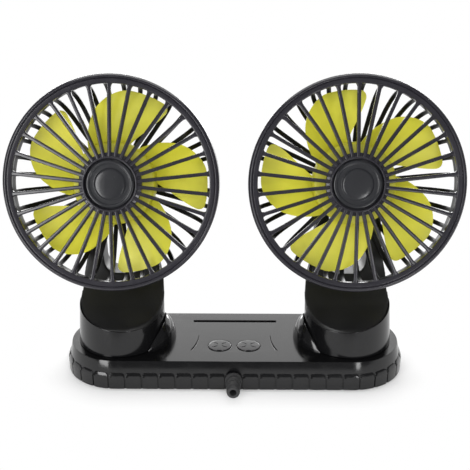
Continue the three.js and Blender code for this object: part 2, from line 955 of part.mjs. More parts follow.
function frontRib() {
  const start = hubCollarRadius - overrun;
  const end = ringBandInner + overrun;
  const startRise = hubCollarProud - seatGap;
  const side = [
    [start, startRise],
    [end, -ringGrooveDepth],
    [end, -ringGrooveDepth - frontRibDepth],
    [start, startRise - frontRibDepth],
  ];
  return acrossX(side, frontRibWidth);
}

function frontHub() {
  return turned(
    [
      [0, -hubFloorDepth],
      [hubRimInner, -hubFloorDepth],
      [hubRimInner, hubRimProud],
      [hubRimRadius, hubRimProud],
      [hubRimRadius, hubCollarProud],
      [hubCollarRadius, hubCollarProud],
      [hubCollarRadius, -hubCollarDepth],
      [0, -hubCollarDepth],
    ],
    hubFacets,
  ).rotateZ(Math.PI / hubFacets);
}

function frontGrille() {
  const ribs = [];
  for (let i = 0; i < frontRibCount; i++) {
    ribs.push(frontRib().rotateZ((-i * 2 * Math.PI) / frontRibCount));
  }
  return join(frontRing(), frontHub(), ...ribs);
}

function hubCap() {
  const cap = turned(
    [
      [0, seatGap - hubFloorDepth],
      [capRadius, seatGap - hubFloorDepth],
      [capRadius, capLandProud],
      [(capRadius + capRingInner) / 2, capRingProud],
      [capRingInner, capLandProud],
      [capDiscRadius, capLandProud],
      [capDiscRadius - capChamfer, capDiscProud],
      [0, capDiscProud],
    ],
    podFacets,
  );
  const notchDepth = 2 * (capRadius - capNotchRadius);
  const notches = [];
  for (let i = 0; i < capNotchCount; i++) {
    const notch = block(capNotchWidth, notchDepth, -hubFloorDepth, capRingProud + overrun);
    notches.push(notch.translate(0, capRadius, 0).rotateZ(-capNotchTurn - (i * 2 * Math.PI) / capNotchCount));
  }
  return cut(cap, ...notches);
}

// A rib of the rear cage: from its hub flat to the corner, then round it to the band.
function rearRib() {
  const bandEnd = ringSkirtDepth + rearShoulder;
  const line = (shift) => {
    const across = rearBandOuter - bowlCornerRadius - shift;
    const down = cageDepth - bandEnd - shift;
    const points = [[bowlCornerRadius + across, overrun - bandEnd]];
    for (let i = 1; i <= bowlSteps; i++) {
      const angle = (i / bowlSteps) * (Math.PI / 2);
      points.push([bowlCornerRadius + across * Math.cos(angle), -bandEnd - down * Math.sin(angle)]);
    }
    return points;
  };
  const root = rearHubRadius - overrun;
  const outer = [...line(rearRibInset), [root, rearRibInset - cageDepth]];
  const inner = [...line(rearRibFar), [root, rearRibFar - cageDepth]];
  return acrossX([...outer, ...inner.reverse()], rearRibWidth);
}

function rearBand() {
  const shoulderFront = ringSkirtDepth + seatGap;
  const bandEnd = ringSkirtDepth + rearShoulder;
  return turned(
    [
      [rearBandOuter - rearBandWall, -bandEnd],
      [ringRadius - ringGrooveDepth / 2, -bandEnd],
      [ringRadius - ringGrooveDepth / 2, -shoulderFront],
      [rearBandOuter, -shoulderFront],
      [rearBandOuter, -rearBandDepth],
      [rearBandOuter - rearBandWall, -rearBandDepth],
    ],
    rearRingFacets,
  );
}

function rearGrille() {
  const ribs = [];
  for (let i = 0; i < rearRibCount; i++) {
    ribs.push(rearRib().rotateZ(((i + 0.5) * 2 * Math.PI) / rearRibCount));
  }
  const plateFront = rearPlateThickness - cageDepth;
  const plate = turned(
    [
      [motorNoseRadius + runningGap, -cageDepth],
      [rearHubRadius, -cageDepth],
      [rearHubRadius, plateFront],
      [motorNoseRadius + runningGap, plateFront],
    ],
    rearRingFacets,
  );
  const holes = [-1, 1].flatMap((end) => [
    screwHole(-cageDepth - overrun, plateFront + overrun).translate(end * motorScrewPlace, 0, 0),
    screwHole(-cageDepth - overrun, plateFront + overrun).translate(0, end * podLugPlace, 0),
  ]);
  return cut(join(rearBand(), plate, ...ribs), ...holes);
}

// The housing behind the cage: a round cup with pivot bosses at its sides and a screw lug above and below.
function motorHousing() {
  const cup = turned(
    [
      [0, -podBack],
      [podRadius - podCorner, -podBack],
      [podRadius - podCorner * podCornerShare, podCorner * podCornerShare - podBack],
      [podRadius, podCorner - podBack],
      [podRadius, -podFront],
      [0, -podFront],
    ],
    podFacets,
  );
  const bosses = rodAlongX(podBossRadius, runningGap - armInner, armInner - runningGap);
  const lugs = [-1, 1].map((end) =>
    rod(podLugRadius, -podFront - podLugLength, -podFront).translate(0, end * podLugPlace, 0),
  );
  const lugHoles = [-1, 1].map((end) =>
    screwHole(-podFront - screwLength, overrun - podFront).translate(0, end * podLugPlace, 0),
  );
  const room = rod(podInnerRadius, podWall - podBack, overrun - podFront, podFacets);
  const reach = armInner + overrun;
  const pinHole = rodAlongX(pivotPinRadius + seatGap, -reach, reach).translate(0, 0, -pivotDepth);
  return cut(join(cup, bosses.translate(0, 0, -pivotDepth), ...lugs), room, pinHole, ...lugHoles);
}

function motor() {
  const can = turned(
    [
      [shaftHoleRadius, motorNoseLength - podFront],
      [motorNoseRadius, motorNoseLength - podFront],
      [motorNoseRadius, -podFront],
      [motorRadius, -podFront],
      [motorRadius, -podFront - motorLength],
      [motorTailRadius, -podFront - motorLength],
      [motorTailRadius, -podFront - motorLength - motorTailLength],
      [0, -podFront - motorLength - motorTailLength],
      [0, -podFront - shaftInMotor - seatGap],
      [shaftHoleRadius, -podFront - shaftInMotor - seatGap],
    ],
    podFacets,
  );
  const holes = [-1, 1].map((end) =>
    screwHole(-podFront - screwLength, overrun - podFront).translate(end * motorScrewPlace, 0, 0),
  );
  return cut(can, ...holes);
}

// A pivot pin, its head outside the arm.
function pivotPin(side) {
  const headFace = yokeTopWidth - pivotHeadThickness + seatGap;
  const inner = motorRadius + runningGap;
  const pieces = [
    rod(pivotPinRadius, inner, headFace + overrun),
    rod(pivotHeadRadius, headFace, headFace + pivotHeadThickness),
  ];
  return join(...pieces.map((piece) => piece.rotateY((side * Math.PI) / 2).translate(0, 0, -pivotDepth)));
}

function headScrew() {
  return screw(cageDepth - rearPlateThickness - seatGap, screwLength + rearPlateThickness).rotateX(Math.PI);
}

function headAssembly(side, word) {
  const group = new THREE.Group();
  group.position.set(side * halfPitch, headCentreY, headCentreZ);
  group.rotation.x = Math.PI / 2 - headTilt;
  group.add(named(`front_grille_${word}`, grilleGrey, frontGrille()));
  group.add(named(`hub_cap_${word}`, capGrey, hubCap()));
  group.add(named(`rear_grille_${word}`, ribBlack, rearGrille()));
  group.add(named(`motor_housing_${word}`, satinBlack, motorHousing()));
  group.add(named(`motor_${word}`, motorSteel, motor()));
  for (const [end, where] of ends) {
    group.add(named(`pivot_pin_${word}_${where}`, screwSteel, pivotPin(end)));
    const motorScrew = named(`motor_screw_${word}_${where}`, screwSteel, headScrew());
    motorScrew.position.set(end * motorScrewPlace, 0, 0);
    const housingScrew = named(`housing_screw_${word}_${where}`, screwSteel, headScrew());
    housingScrew.position.set(0, end * podLugPlace, 0);
    group.add(motorScrew, housingScrew);
  }
  return group;
}

// Fan, in the head's frame

// Where a blade's sheet is, for a share of its chord from the leading edge and a share of its span.
function bladePoint(chordShare, spanShare, lift) {
  const tipChord = -bladeBehindTip * bladeTipRadius;
  const fromAhead = chordShare * tipChord;
  const fromBehind = (1 - chordShare) * tipChord;
  const drop = cornerDrop(fromAhead, bladeRoundAhead) + cornerDrop(fromBehind, bladeRoundBehind);
  const root = fanHubRadius - fanHubWall / 2;
  const radius = root + spanShare * (bladeTipRadius - drop - root);
  const span = (radius - root) / (bladeTipRadius - root);
  const aheadAngle = bladeAheadRoot * (1 - span) ** bladeSweepPower;
  const behindAngle = bladeBehindRoot + (bladeBehindTip - bladeBehindRoot) * span;
  const angle = aheadAngle + chordShare * (behindAngle - aheadAngle);
  const rise = bladeRootRise + span * (bladeTipRise - bladeRootRise);
  const bow = 1 - (2 * chordShare - 1) ** 2;
  const height = -bladePlane + rise * (2 * chordShare - 1) - bladeCamber * bow;
  return new THREE.Vector3(radius * Math.sin(angle), radius * Math.cos(angle), height + lift);
}

// How far a rounded corner falls short of the tip, at a distance from the blade's edge.
function cornerDrop(distance, round) {
  if (distance >= round) return 0;
  return round - Math.sqrt(round * round - (round - distance) ** 2);
}

function blade() {
  const rings = bladeSpanShares.map((spanShare) => {
    const front = bladeChordShares.map((share) => bladePoint(share, spanShare, bladeThickness / 2));
    const back = bladeChordShares.map((share) => bladePoint(share, spanShare, -bladeThickness / 2));
    return [...back, ...front.reverse()];
  });
  return lofted(rings);
}

function fanHub() {
  const back = fanHubFront + fanHubDepth;
  return turned(
    [
      [shaftHoleRadius, -fanHubFront],
      [fanHubRadius - fanHubEdge, -fanHubFront],
      [fanHubRadius, -fanHubFront - fanHubEdge],
      [fanHubRadius, -back],
      [fanHubRadius - fanHubWall, -back],
      [fanHubRadius - fanHubWall, -fanHubFront - fanHubWall],
      [fanBossRadius, -fanHubFront - fanHubWall],
      [fanBossRadius, -fanHubFront - fanBossLength],
      [shaftHoleRadius, -fanHubFront - fanBossLength],
    ],
    podFacets,
  ).rotateZ(fanHubTurn);
}

function fan() {
  const blades = [];
  for (let i = 0; i < bladeCount; i++) {
    blades.push(blade().rotateZ((-i * 2 * Math.PI) / bladeCount));
  }
  return join(fanHub(), ...blades);
}

function fanAssembly(side, word, phase) {
  const group = new THREE.Group();
  group.position.set(side * halfPitch, headCentreY, headCentreZ);
  group.rotation.x = Math.PI / 2 - headTilt;
  const impeller = named(`fan_blade_${word}`, fanYellow, fan());
  impeller.rotation.z = -phase;
  const shaft = rod(shaftRadius, -podFront - shaftInMotor, -fanHubFront, screwFacets);
  group.add(impeller, named(`motor_shaft_${word}`, shaftSteel, shaft));
  return group;
}

// The whole fan
const carFan = new THREE.Group();
carFan.add(baseAssembly());
for (const [side, word] of sides) {
  carFan.add(turretAssembly(side, word));
  carFan.add(headAssembly(side, word));
  carFan.add(fanAssembly(side, word, side < 0 ? fanPhaseLeft : fanPhaseRight));
}

export default carFan;
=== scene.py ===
import json
import math
import bmesh
import bpy
from mathutils import Matrix, Vector


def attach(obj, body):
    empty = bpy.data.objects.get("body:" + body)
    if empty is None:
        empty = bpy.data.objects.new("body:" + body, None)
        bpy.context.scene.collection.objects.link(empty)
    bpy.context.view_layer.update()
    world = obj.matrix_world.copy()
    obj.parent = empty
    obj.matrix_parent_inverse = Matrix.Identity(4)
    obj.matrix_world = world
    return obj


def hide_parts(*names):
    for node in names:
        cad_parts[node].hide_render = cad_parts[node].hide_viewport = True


# Looks of a dual head car fan. Shapes are drawn in millimetres and brought to metres when they are placed.
# +X is to the right, +Y to the back and +Z up, and each fan blows towards -Y.
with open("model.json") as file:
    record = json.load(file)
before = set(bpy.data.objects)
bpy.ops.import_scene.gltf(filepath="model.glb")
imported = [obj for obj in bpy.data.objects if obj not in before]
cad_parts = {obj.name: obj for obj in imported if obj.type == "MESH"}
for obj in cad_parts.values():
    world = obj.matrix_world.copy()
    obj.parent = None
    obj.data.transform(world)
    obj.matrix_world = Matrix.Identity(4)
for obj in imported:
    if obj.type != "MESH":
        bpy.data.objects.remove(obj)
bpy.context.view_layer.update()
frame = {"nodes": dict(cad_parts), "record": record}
METRES = Matrix.Scale(0.001, 4)
SIDES = ((-1, "left"), (1, "right"))
PIN_ENDS = ((-1, "a"), (1, "b"))
ROUND_STEPS = 4
DOUBLES = 0.0005

# A cut reaches this far past what it cuts
OVERRUN = 1

# Base
HALF_PITCH = 79.0
BASE_HEIGHT = 20.0
TOP_RADIUS = 34.9
CAVITY_RADIUS = 35.35
CEILING = 13.6
NECK_HOLE = 20.4
DECK_EDGE_ROUND = 0.3

# Lines in the deck
GROOVE_DEPTH = 1.2
SLOT_HALF_LENGTH = 30.4
SLOT_FRONT = 20.8
SLOT_BACK = 23.8
SLOT_ROUND = 1.1
SIDE_GROOVE = ((25.2, 0.5), (25.2, -11), (29.2, -20))
SIDE_GROOVE_START = 0.07
SIDE_GROOVE_SWELL = 0.48

# Rim and its pads
RIM_RADIUS = 38.35
RIM_CORE_RADIUS = 37.45
RIM_HEIGHT = 9.0
RIM_BOTTOM = 0.6
PAD_TOP = 12.3
PAD_COUNT = 50
PAD_GAP = 0.7
PAD_THICKNESS = 1.8
PAD_PROUD = 0.3
PAD_FOOT_ROUND = 0.8
PAD_ARCH_ROUND = 2.8
PAD_EDGE_ROUND = 0.4
PAD_BENDS = (-2.6, 0, 2.6)

# Mat: its border groove goes in from the edge by steps of reach and depth
MAT_RADIUS = 33.0
MAT_THICKNESS = 1.2
MAT_EDGE_ROUND = 0.3
MAT_GROOVE = ((2.2, 0), (0.5, 0.35), (0.9, 0), (0.5, -0.35))

# Buttons: each groove has a direction in degrees and a bow
BUTTON_PLACE = (9.9, -13.8)
BUTTON_HOLE = 8.2
BUTTON_RADIUS = 7.75
BUTTON_LIP = 9.4
BUTTON_FOOT = 12.7
BUTTON_LIP_TOP = 17.3
BUTTON_CROWN = 20.7
BUTTON_GROOVES = ((38, 0.5), (141, -0.5), (205, 0.5), (-25, -0.5))
BUTTON_GROOVE_FROM = 1.7
BUTTON_GROOVE_LENGTH = 3.9
BUTTON_GROOVE_FLOOR = 20.2
BUTTON_NOTCH_FLOOR = 19.2

# Cable gland
GLAND_HEIGHT = 8.5
GLAND_REACH = 16
GLAND_BACK = 33.4
GLAND_GAP = 0.3
GLAND_NECK = 4.1
GLAND_BORE = 2.2
GLAND_FLANGE = 5.6
GLAND_FLANGE_THICKNESS = 1.6
GLAND_RIBS = 3

# Shoulders on the deck, beside the sleeves; their reach to each side is in degrees
SHOULDER_RADIUS = 31.3
SHOULDER_WIDTH = 6.5
SHOULDER_HEIGHT = 15.4
SHOULDER_SINK = 0.2
SHOULDER_REACH = 48
SHOULDER_STEPS = 24

# Sleeve: an oval is its shift to the base's middle, its half width and its half depth
NECK_RADIUS = 20
NECK_BORE = 14
NECK_FOOT = 13.3
SLEEVE_RADIUS = 30.0
SLEEVE_WALL = 0.5
SLEEVE_BOTTOM = 20.4
SLEEVE_FLOOR = 22.6
SLEEVE_MIDDLE = 35.0
SLEEVE_RIM = 46.8
SLEEVE_SLOPE = 0.26
SLEEVE_BACK_SHARE = 0.3
SLEEVE_DIP = 0.09
RIM_OVAL = (1.15, 28.9, 29.8)
FOOT_OVAL = (0.3, 30.1, 30.9)

# Fork: the tables are shares of the way from its column to its pivot
YOKE_RADIUS = 28.5
YOKE_FLARE = 0.9
YOKE_SHIFT = 1.6
YOKE_SHIFT_FROM = 52.0
YOKE_SHIFT_TO = 83.0
YOKE_LOW = 39.6
YOKE_RISE_FROM = 46.0
YOKE_HALF_WIDTH = 22.2
ARM_INNER = 15.9
CROTCH_HEIGHT = 63.0
CROTCH_HALF_WIDTH = 13.0
CROTCH_FILLET = 8.0
ARM_TAPER = 24.6
PIVOT_BOSS = 8.2
YOKE_FRONT = ((0, 0), (0.24, 0.055), (0.43, 0.105), (0.58, 0.165), (0.7, 0.235), (0.79, 0.355), (0.84, 0.51),
              (0.94, 0.8), (1, 1))
YOKE_BACK = ((0, 0.1), (0.15, 0.26), (0.38, 0.46), (0.66, 0.74), (1, 1))
YOKE_WIDTH = ((0, 0), (0.2, 0.18), (0.76, 0.37), (0.98, 0.67), (1, 1))
YOKE_COLUMN = ((0, 0, 0), (0, 0.03, 0.05), (0, 0.08, 0.12), (0.2, 0.2, 0.37), (0.4, 0.55, 0.67),
               (0.7, 1, 1.12))

# Head: its centre and its pivot, whose depth is counted backwards from the ring's plane
HEAD_CENTRE = (-9.5, 134.6)
HEAD_TILT = math.radians(14.3)
PIVOT_DEPTH = 44.4
PIVOT_Y = HEAD_CENTRE[0] + math.cos(HEAD_TILT) * PIVOT_DEPTH
PIVOT_Z = HEAD_CENTRE[1] - math.sin(HEAD_TILT) * PIVOT_DEPTH

# Front grille and its cap, whose notches start at a turn in degrees
RING_RADIUS = 69.78
RING_INNER = 63.6
RING_SOCKET = 68
RING_THICKNESS = 3.6
RING_DEPTH = 13
FRONT_HUB = 20.3
HUB_COLLAR = 17.8
CAP_SEAT = 16.5
FRONT_RIBS = 30
FRONT_RIB_WIDTH = 2.4
FRONT_RIB_DEPTH = 2.9
CAP_RADIUS = 15.6
CAP_NOTCHES = 6
CAP_NOTCH_TURN = 15

# Rear grille
REAR_RIBS = 36
REAR_RIB_WIDTH = 3.0
REAR_RIB_DEPTH = 1.9
REAR_RIB_TURN = math.radians(5)
CAGE_DEPTH = 35.0
REAR_BAND = 67.6
REAR_BAND_INNER = 65.4
REAR_FLANGE = 69.55
BOWL_FROM = 15.8
BOWL_CORNER = 52.0
REAR_HUB = 22.0
REAR_HUB_BORE = 3.8
REAR_HUB_THICKNESS = 2.5

# Motor housing and pivot pins
POD_RADIUS = 14.2
POD_FRONT = 35.3
POD_BACK = 58.8
POD_ROOM = 12.3
POD_ROOM_BACK = 57.1
POD_TRUNNION = 6
POD_HALF_SPAN = 15.5
LUG_RADIUS = 3.2
LUG_PLACE = 16
LUG_DEPTH = 10
PIN_RADIUS = 2.1
PIN_HEAD = 4.2
PIN_FROM = 12
PIN_OUT = 22.45
PIN_HEAD_HEIGHT = 1.7
PIN_SEAT = 4.8
PIN_SEAT_DEPTH = 1.9
RECESS_HALF_LENGTH = 2
RECESS_HALF_WIDTH = 0.4
RECESS_DEPTH = 1.1

# Fan: angles in degrees round its axis, the tip's as the length of its chord
BLADES = 5
BLADE_TIP = 61.3
BLADE_PLANE = 18.8
BLADE_THICKNESS = 1.3
BLADE_ROOT_SINK = 0.9
BLADE_TIP_ANGLE = 38
BLADE_FRONT_SWEEP = -17.5
BLADE_BACK_SWEEP = -73.5
BLADE_BACK_GAIN = 35.5
BLADE_RISE = 6.4
BLADE_RISE_LOSS = 0.9
BLADE_SCOOP = 1.6
BLADE_FRONT_CORNER = 5
BLADE_BACK_CORNER = 13
FAN_HUB = 27.3
FAN_HUB_FRONT = 11.5
FAN_HUB_DEPTH = 15.0
FAN_HUB_WALL = 1.8
FAN_BOSS = 4
FAN_BOSS_DEPTH = 12.5
FAN_PHASES = {"left": math.radians(36.5), "right": math.radians(8.6)}

# Stage, in metres and degrees: past the shade the floor turns plain white
FLOOR_SHADE = (0.036, 0.06)
FLOOR_WIDTH = 1.6
ROOM_SHADE = 0.14
CAMERA_AIM = (0.000611, 0, 0.096358)
CAMERA_DISTANCE = 0.48363
CAMERA_ANGLES = (0.961, 20.877, -0.183)
CAMERA_LENS = 55.375


# Shader nodes

class Value:
    """A socket's value, whose operators add Math nodes."""

    def __init__(self, shader, socket):
        self.shader = shader
        self.socket = socket

    def math(self, operation, *others):
        values = dict(enumerate((self,) + others))
        return self.shader.node("ShaderNodeMath", {"operation": operation}, values)

    def __add__(self, other):
        return self.math("ADD", other)

    __radd__ = __add__

    def __sub__(self, other):
        return self.math("SUBTRACT", other)

    def __rsub__(self, other):
        return self.math("MULTIPLY", -1.0) + other

    def __mul__(self, other):
        return self.math("MULTIPLY", other)

    __rmul__ = __mul__

    def clamped(self, low=0.0, high=1.0):
        return self.math("MAXIMUM", low).math("MINIMUM", high)

    def spread(self, low, high):
        """0 below low, 1 above high and straight between them."""
        return ((self - low) * (1.0 / (high - low))).clamped()


class Shader:
    """The nodes of one material, or of the world."""

    def __init__(self, owner):
        owner.use_nodes = True
        self.tree = owner.node_tree

    def node(self, kind, settings=None, values=None, output=0):
        """A node by its type, settings and socket values or links; gives the named or numbered output."""
        made = self.tree.nodes.new(kind)
        for key, value in (settings or {}).items():
            setattr(made, key, value)
        for key, value in (values or {}).items():
            self.feed(made.inputs[key], value)
        return Value(self, made.outputs[output])

    def feed(self, socket, value):
        if isinstance(value, Value):
            self.tree.links.new(value.socket, socket)
        else:
            socket.default_value = value

    def place(self, scale=(1, 1, 1)):
        """Object coordinates in metres, stretched by a scale."""
        coordinates = self.node("ShaderNodeTexCoord", output="Object")
        return self.node("ShaderNodeMapping", {}, {"Vector": coordinates, "Scale": scale})

    def noise(self, scale, detail=3.0, rough=0.5, stretch=(1, 1, 1)):
        values = {"Vector": self.place(stretch), "Scale": scale, "Detail": detail, "Roughness": rough}
        return self.node("ShaderNodeTexNoise", {}, values)

    def mix(self, share, first, second):
        return self.node("ShaderNodeMix", {"data_type": "RGBA"}, {0: share, 6: first, 7: second}, output=2)

    def bump(self, height, strength, distance):
        return self.node("ShaderNodeBump", {}, {"Height": height, "Strength": strength, "Distance": distance})


def colour(red, green, blue):
    return (red, green, blue, 1.0)


def surface(name, color, roughness, normal, **constants):
    """A material from what varies over it, and constants set on the shader's own sockets."""
    material = bpy.data.materials.new(name)
    shader = Shader(material)
    base = shader.tree.nodes["Principled BSDF"]
    shader.feed(base.inputs["Base Color"], color(shader))
    shader.feed(base.inputs["Roughness"], roughness(shader))
    shader.feed(base.inputs["Normal"], normal(shader))
    for key, value in constants.items():
        base.inputs[key.replace("_", " ")].default_value = value
    return material


def moulded(name, dark, light, roughness, grain, grain_height, IOR=1.47):
    """Moulded plastic: a faint flow in its colour, handling marks in its gloss, and a fine grain."""

    def color(shader):
        flow = shader.noise(38.0, 4.0, 0.55).spread(0.3, 0.7)
        specks = shader.noise(2600.0, 2.0).spread(0.62, 0.74)
        plain = shader.mix(flow, colour(*dark), colour(*light))
        return shader.mix(specks * 0.05, plain, colour(0.3, 0.3, 0.3))

    def gloss(shader):
        marks = shader.noise(95.0, 5.0, 0.6, (1, 1, 0.25)).spread(0.35, 0.75)
        hairs = shader.noise(900.0, 2.0, 0.5, (1, 0.06, 1)).spread(0.6, 0.8)
        return (marks * 0.09 + hairs * 0.05 + (roughness - 0.04)).clamped(0.05, 1.0)

    def normal(shader):
        skin = shader.noise(grain, 2.0, 0.6)
        waves = shader.noise(55.0, 2.0, 0.4)
        return shader.bump(skin + waves * 1.5, 0.5, grain_height)

    return surface(name, color, gloss, normal, IOR=IOR)


def soft_rubber(name, shade, grain):
    def color(shader):
        dust = shader.noise(140.0, 5.0, 0.6).spread(0.45, 0.8)
        return shader.mix(dust * 0.35, colour(shade, shade, shade * 1.05), colour(0.06, 0.06, 0.058))

    def gloss(shader):
        return shader.noise(300.0, 3.0).spread(0.2, 0.8) * 0.15 + 0.62

    def normal(shader):
        return shader.bump(shader.noise(grain, 3.0, 0.7), 0.6, 0.00012)

    return surface(name, color, gloss, normal, IOR=1.5)


def steel(name, shade, roughness, stretch):
    def color(shader):
        tone = shader.noise(260.0, 4.0, 0.6, stretch).spread(0.3, 0.7)
        dark = tuple(c * 0.78 for c in shade)
        return shader.mix(tone, colour(*dark), colour(*shade))

    def gloss(shader):
        return shader.noise(900.0, 3.0, 0.6, stretch).spread(0.3, 0.7) * 0.16 + roughness

    def normal(shader):
        return shader.bump(shader.noise(1500.0, 2.0, 0.6, stretch), 0.35, 0.00004)

    return surface(name, color, gloss, normal, Metallic=1.0)


def circuit_green(name):
    """Solder mask over copper tracks that run both ways."""

    def tracks(shader):
        along = shader.node("ShaderNodeTexWave", {"bands_direction": "X"},
                            {"Vector": shader.place(), "Scale": 85.0, "Distortion": 1.5, "Detail": 1.0})
        across = shader.node("ShaderNodeTexWave", {"bands_direction": "Y"},
                             {"Vector": shader.place(), "Scale": 60.0, "Distortion": 1.5, "Detail": 1.0})
        return along.spread(0.7, 0.8).math("MAXIMUM", across.spread(0.78, 0.86))

    def color(shader):
        return shader.mix(tracks(shader), colour(0.008, 0.07, 0.03), colour(0.02, 0.14, 0.06))

    def gloss(shader):
        return shader.noise(400.0).spread(0.2, 0.8) * 0.12 + 0.28

    def normal(shader):
        return shader.bump(tracks(shader), 0.5, 0.00005)

    return surface(name, color, gloss, normal, IOR=1.5)


def blade_plastic(name):
    """Yellow-green plastic with a faint flow and soft clouds in its colour."""

    def color(shader):
        flow = shader.noise(60.0, 4.0, 0.55).spread(0.3, 0.72)
        cloud = shader.noise(24.0, 2.0, 0.5).spread(0.35, 0.7)
        bright = shader.mix(flow, colour(0.50, 0.49, 0.026), colour(0.60, 0.575, 0.036))
        return shader.mix(cloud * 0.4, bright, colour(0.66, 0.60, 0.05))

    def gloss(shader):
        return shader.noise(130.0, 4.0, 0.6).spread(0.3, 0.75) * 0.12 + 0.34

    def normal(shader):
        return shader.bump(shader.noise(700.0, 2.0) + shader.noise(45.0, 2.0) * 2.0, 0.35, 0.00006)

    return surface(name, color, gloss, normal, IOR=1.47)


MATERIALS = {
    "housing_gloss_black": moulded("housing_gloss_black", (0.003, 0.003, 0.0033), (0.0045, 0.0045, 0.005),
                                   0.15, 1400.0, 0.000008),
    "button_black": moulded("button_black", (0.013, 0.013, 0.014), (0.018, 0.018, 0.019),
                            0.22, 1700.0, 0.000008),
    "satin_black": moulded("satin_black", (0.004, 0.004, 0.004), (0.006, 0.006, 0.006),
                           0.42, 1100.0, 0.00004),
    "cage_black": moulded("cage_black", (0.0016, 0.0016, 0.0019), (0.0026, 0.0026, 0.003),
                          0.4, 1200.0, 0.00002, 1.3),
    "grille_grey": moulded("grille_grey", (0.0135, 0.0128, 0.0165), (0.0175, 0.0165, 0.021),
                           0.22, 1500.0, 0.00001),
    "cap_grey": moulded("cap_grey", (0.014, 0.0145, 0.0165), (0.018, 0.0185, 0.021),
                        0.22, 1500.0, 0.000008),
    "fan_yellow_green": blade_plastic("fan_yellow_green"),
    "rubber_black": soft_rubber("rubber_black", 0.016, 900.0),
    "board_green": circuit_green("board_green"),
    "switch_black": moulded("switch_black", (0.012, 0.012, 0.013), (0.018, 0.018, 0.019),
                            0.45, 1800.0, 0.00003),
    "lead_black": soft_rubber("lead_black", 0.008, 1500.0),
    "motor_steel": steel("motor_steel", (0.52, 0.53, 0.55), 0.24, (1, 1, 0.1)),
    "shaft_steel": steel("shaft_steel", (0.62, 0.63, 0.65), 0.16, (1, 0.1, 1)),
    "screw_steel": steel("screw_steel", (0.40, 0.41, 0.43), 0.26, (1, 1, 1)),
}


# Meshes

def chain(bm, points, closed=True):
    verts = [bm.verts.new(point) for point in points]
    edges = [bm.edges.new(pair) for pair in zip(verts, verts[1:])]
    if closed:
        edges.append(bm.edges.new((verts[-1], verts[0])))
    return verts, edges


def softened(points):
    """A closed outline; a corner with a third number is rounded over that reach."""
    outline = []
    for i, point in enumerate(points):
        here = Vector(point[:2])
        if len(point) == 2:
            outline.append(here)
            continue
        before = Vector(points[i - 1][:2]) - here
        after = Vector(points[(i + 1) % len(points)][:2]) - here
        start = here + before.normalized() * point[2]
        end = here + after.normalized() * point[2]
        for step in range(ROUND_STEPS + 1):
            t = step / ROUND_STEPS
            outline.append(start * (1 - t) ** 2 + here * (2 * t * (1 - t)) + end * t * t)
    return outline


def through(points, steps):
    """A smooth line through the points, steps to each stretch."""
    line = []
    last = len(points) - 1
    for i in range(last):
        a, b, c, d = (Vector(points[min(max(k, 0), last)]) for k in (i - 1, i, i + 1, i + 2))
        for step in range(steps):
            t = step / steps
            line.append(0.5 * (2 * b + (c - a) * t + (2 * a - 5 * b + 4 * c - d) * t * t
                               + (3 * b - a - 3 * c + d) * t ** 3))
    line.append(Vector(points[-1]))
    return line


def lathe(bm, profile, steps, place=None):
    """A profile of radius and height, turned round the Z axis; it closes itself away from the axis."""
    old = set(bm.verts)
    on_axis = profile[0][0] == 0 and profile[-1][0] == 0
    verts, edges = chain(bm, [(a, 0, b) for a, b in softened(profile)], closed=not on_axis)
    bmesh.ops.spin(bm, geom=verts + edges, cent=(0, 0, 0), axis=(0, 0, 1), angle=2 * math.pi, steps=steps,
                   use_merge=True, use_duplicate=False)
    made = [v for v in bm.verts if v not in old]
    bmesh.ops.remove_doubles(bm, verts=made, dist=DOUBLES)
    made = [v for v in bm.verts if v not in old]
    if place:
        bmesh.ops.transform(bm, matrix=place, verts=made)
    return made


def bar(bm, section, stations):
    """A section carried through a row of placings, closed at both ends. Gives its vertices."""
    old = set(bm.verts)
    faces = [bm.faces.new([bm.verts.new(stations[0] @ Vector((a, b, 0))) for a, b in section])]
    for before, after in zip(stations, stations[1:]):
        made = bmesh.ops.extrude_face_region(bm, geom=faces[-1:])["geom"]
        verts = [item for item in made if isinstance(item, bmesh.types.BMVert)]
        faces.append(next(item for item in made if isinstance(item, bmesh.types.BMFace)))
        bmesh.ops.transform(bm, matrix=after @ before.inverted(), verts=verts)
    bmesh.ops.delete(bm, geom=faces[1:-1], context="FACES_ONLY")
    return [v for v in bm.verts if v not in old]


def ringed(bm, verts, count):
    """Copies of some vertices' geometry round the Z axis, count in all."""
    chosen = set(verts)
    faces = [f for f in bm.faces if all(v in chosen for v in f.verts)]
    edges = [e for e in bm.edges if all(v in chosen for v in e.verts)]
    bmesh.ops.spin(bm, geom=list(verts) + edges + faces, cent=(0, 0, 0), axis=(0, 0, 1),
                   angle=2 * math.pi * (count - 1) / count, steps=count - 1, use_duplicate=True)


def basis(x, y, z, origin=(0, 0, 0)):
    """A placing from its three axes and its origin."""
    return Matrix.Translation(origin) @ Matrix((x, y, z)).transposed().to_4x4()


def prism(outline, start, way):
    """A closed outline of points in space, carried from a start along a way."""
    bm = bmesh.new()
    face = bm.faces.new([bm.verts.new(Vector(point) + Vector(start)) for point in outline])
    made = bmesh.ops.extrude_face_region(bm, geom=[face], use_keep_orig=True)["geom"]
    bmesh.ops.translate(bm, verts=[v for v in made if isinstance(v, bmesh.types.BMVert)], vec=way)
    return bm


def rod(radius, low, high, steps=32, place=None):
    bm = bmesh.new()
    lathe(bm, [(0, low), (radius, low), (radius, high), (0, high)], steps, place)
    return bm


def loose(bm):
    """An object from a mesh, for the time that it is worked on."""
    bmesh.ops.recalc_face_normals(bm, faces=bm.faces)
    mesh = bpy.data.meshes.new("work")
    bm.to_mesh(mesh)
    bm.free()
    made = bpy.data.objects.new("work", mesh)
    bpy.context.scene.collection.objects.link(made)
    return made


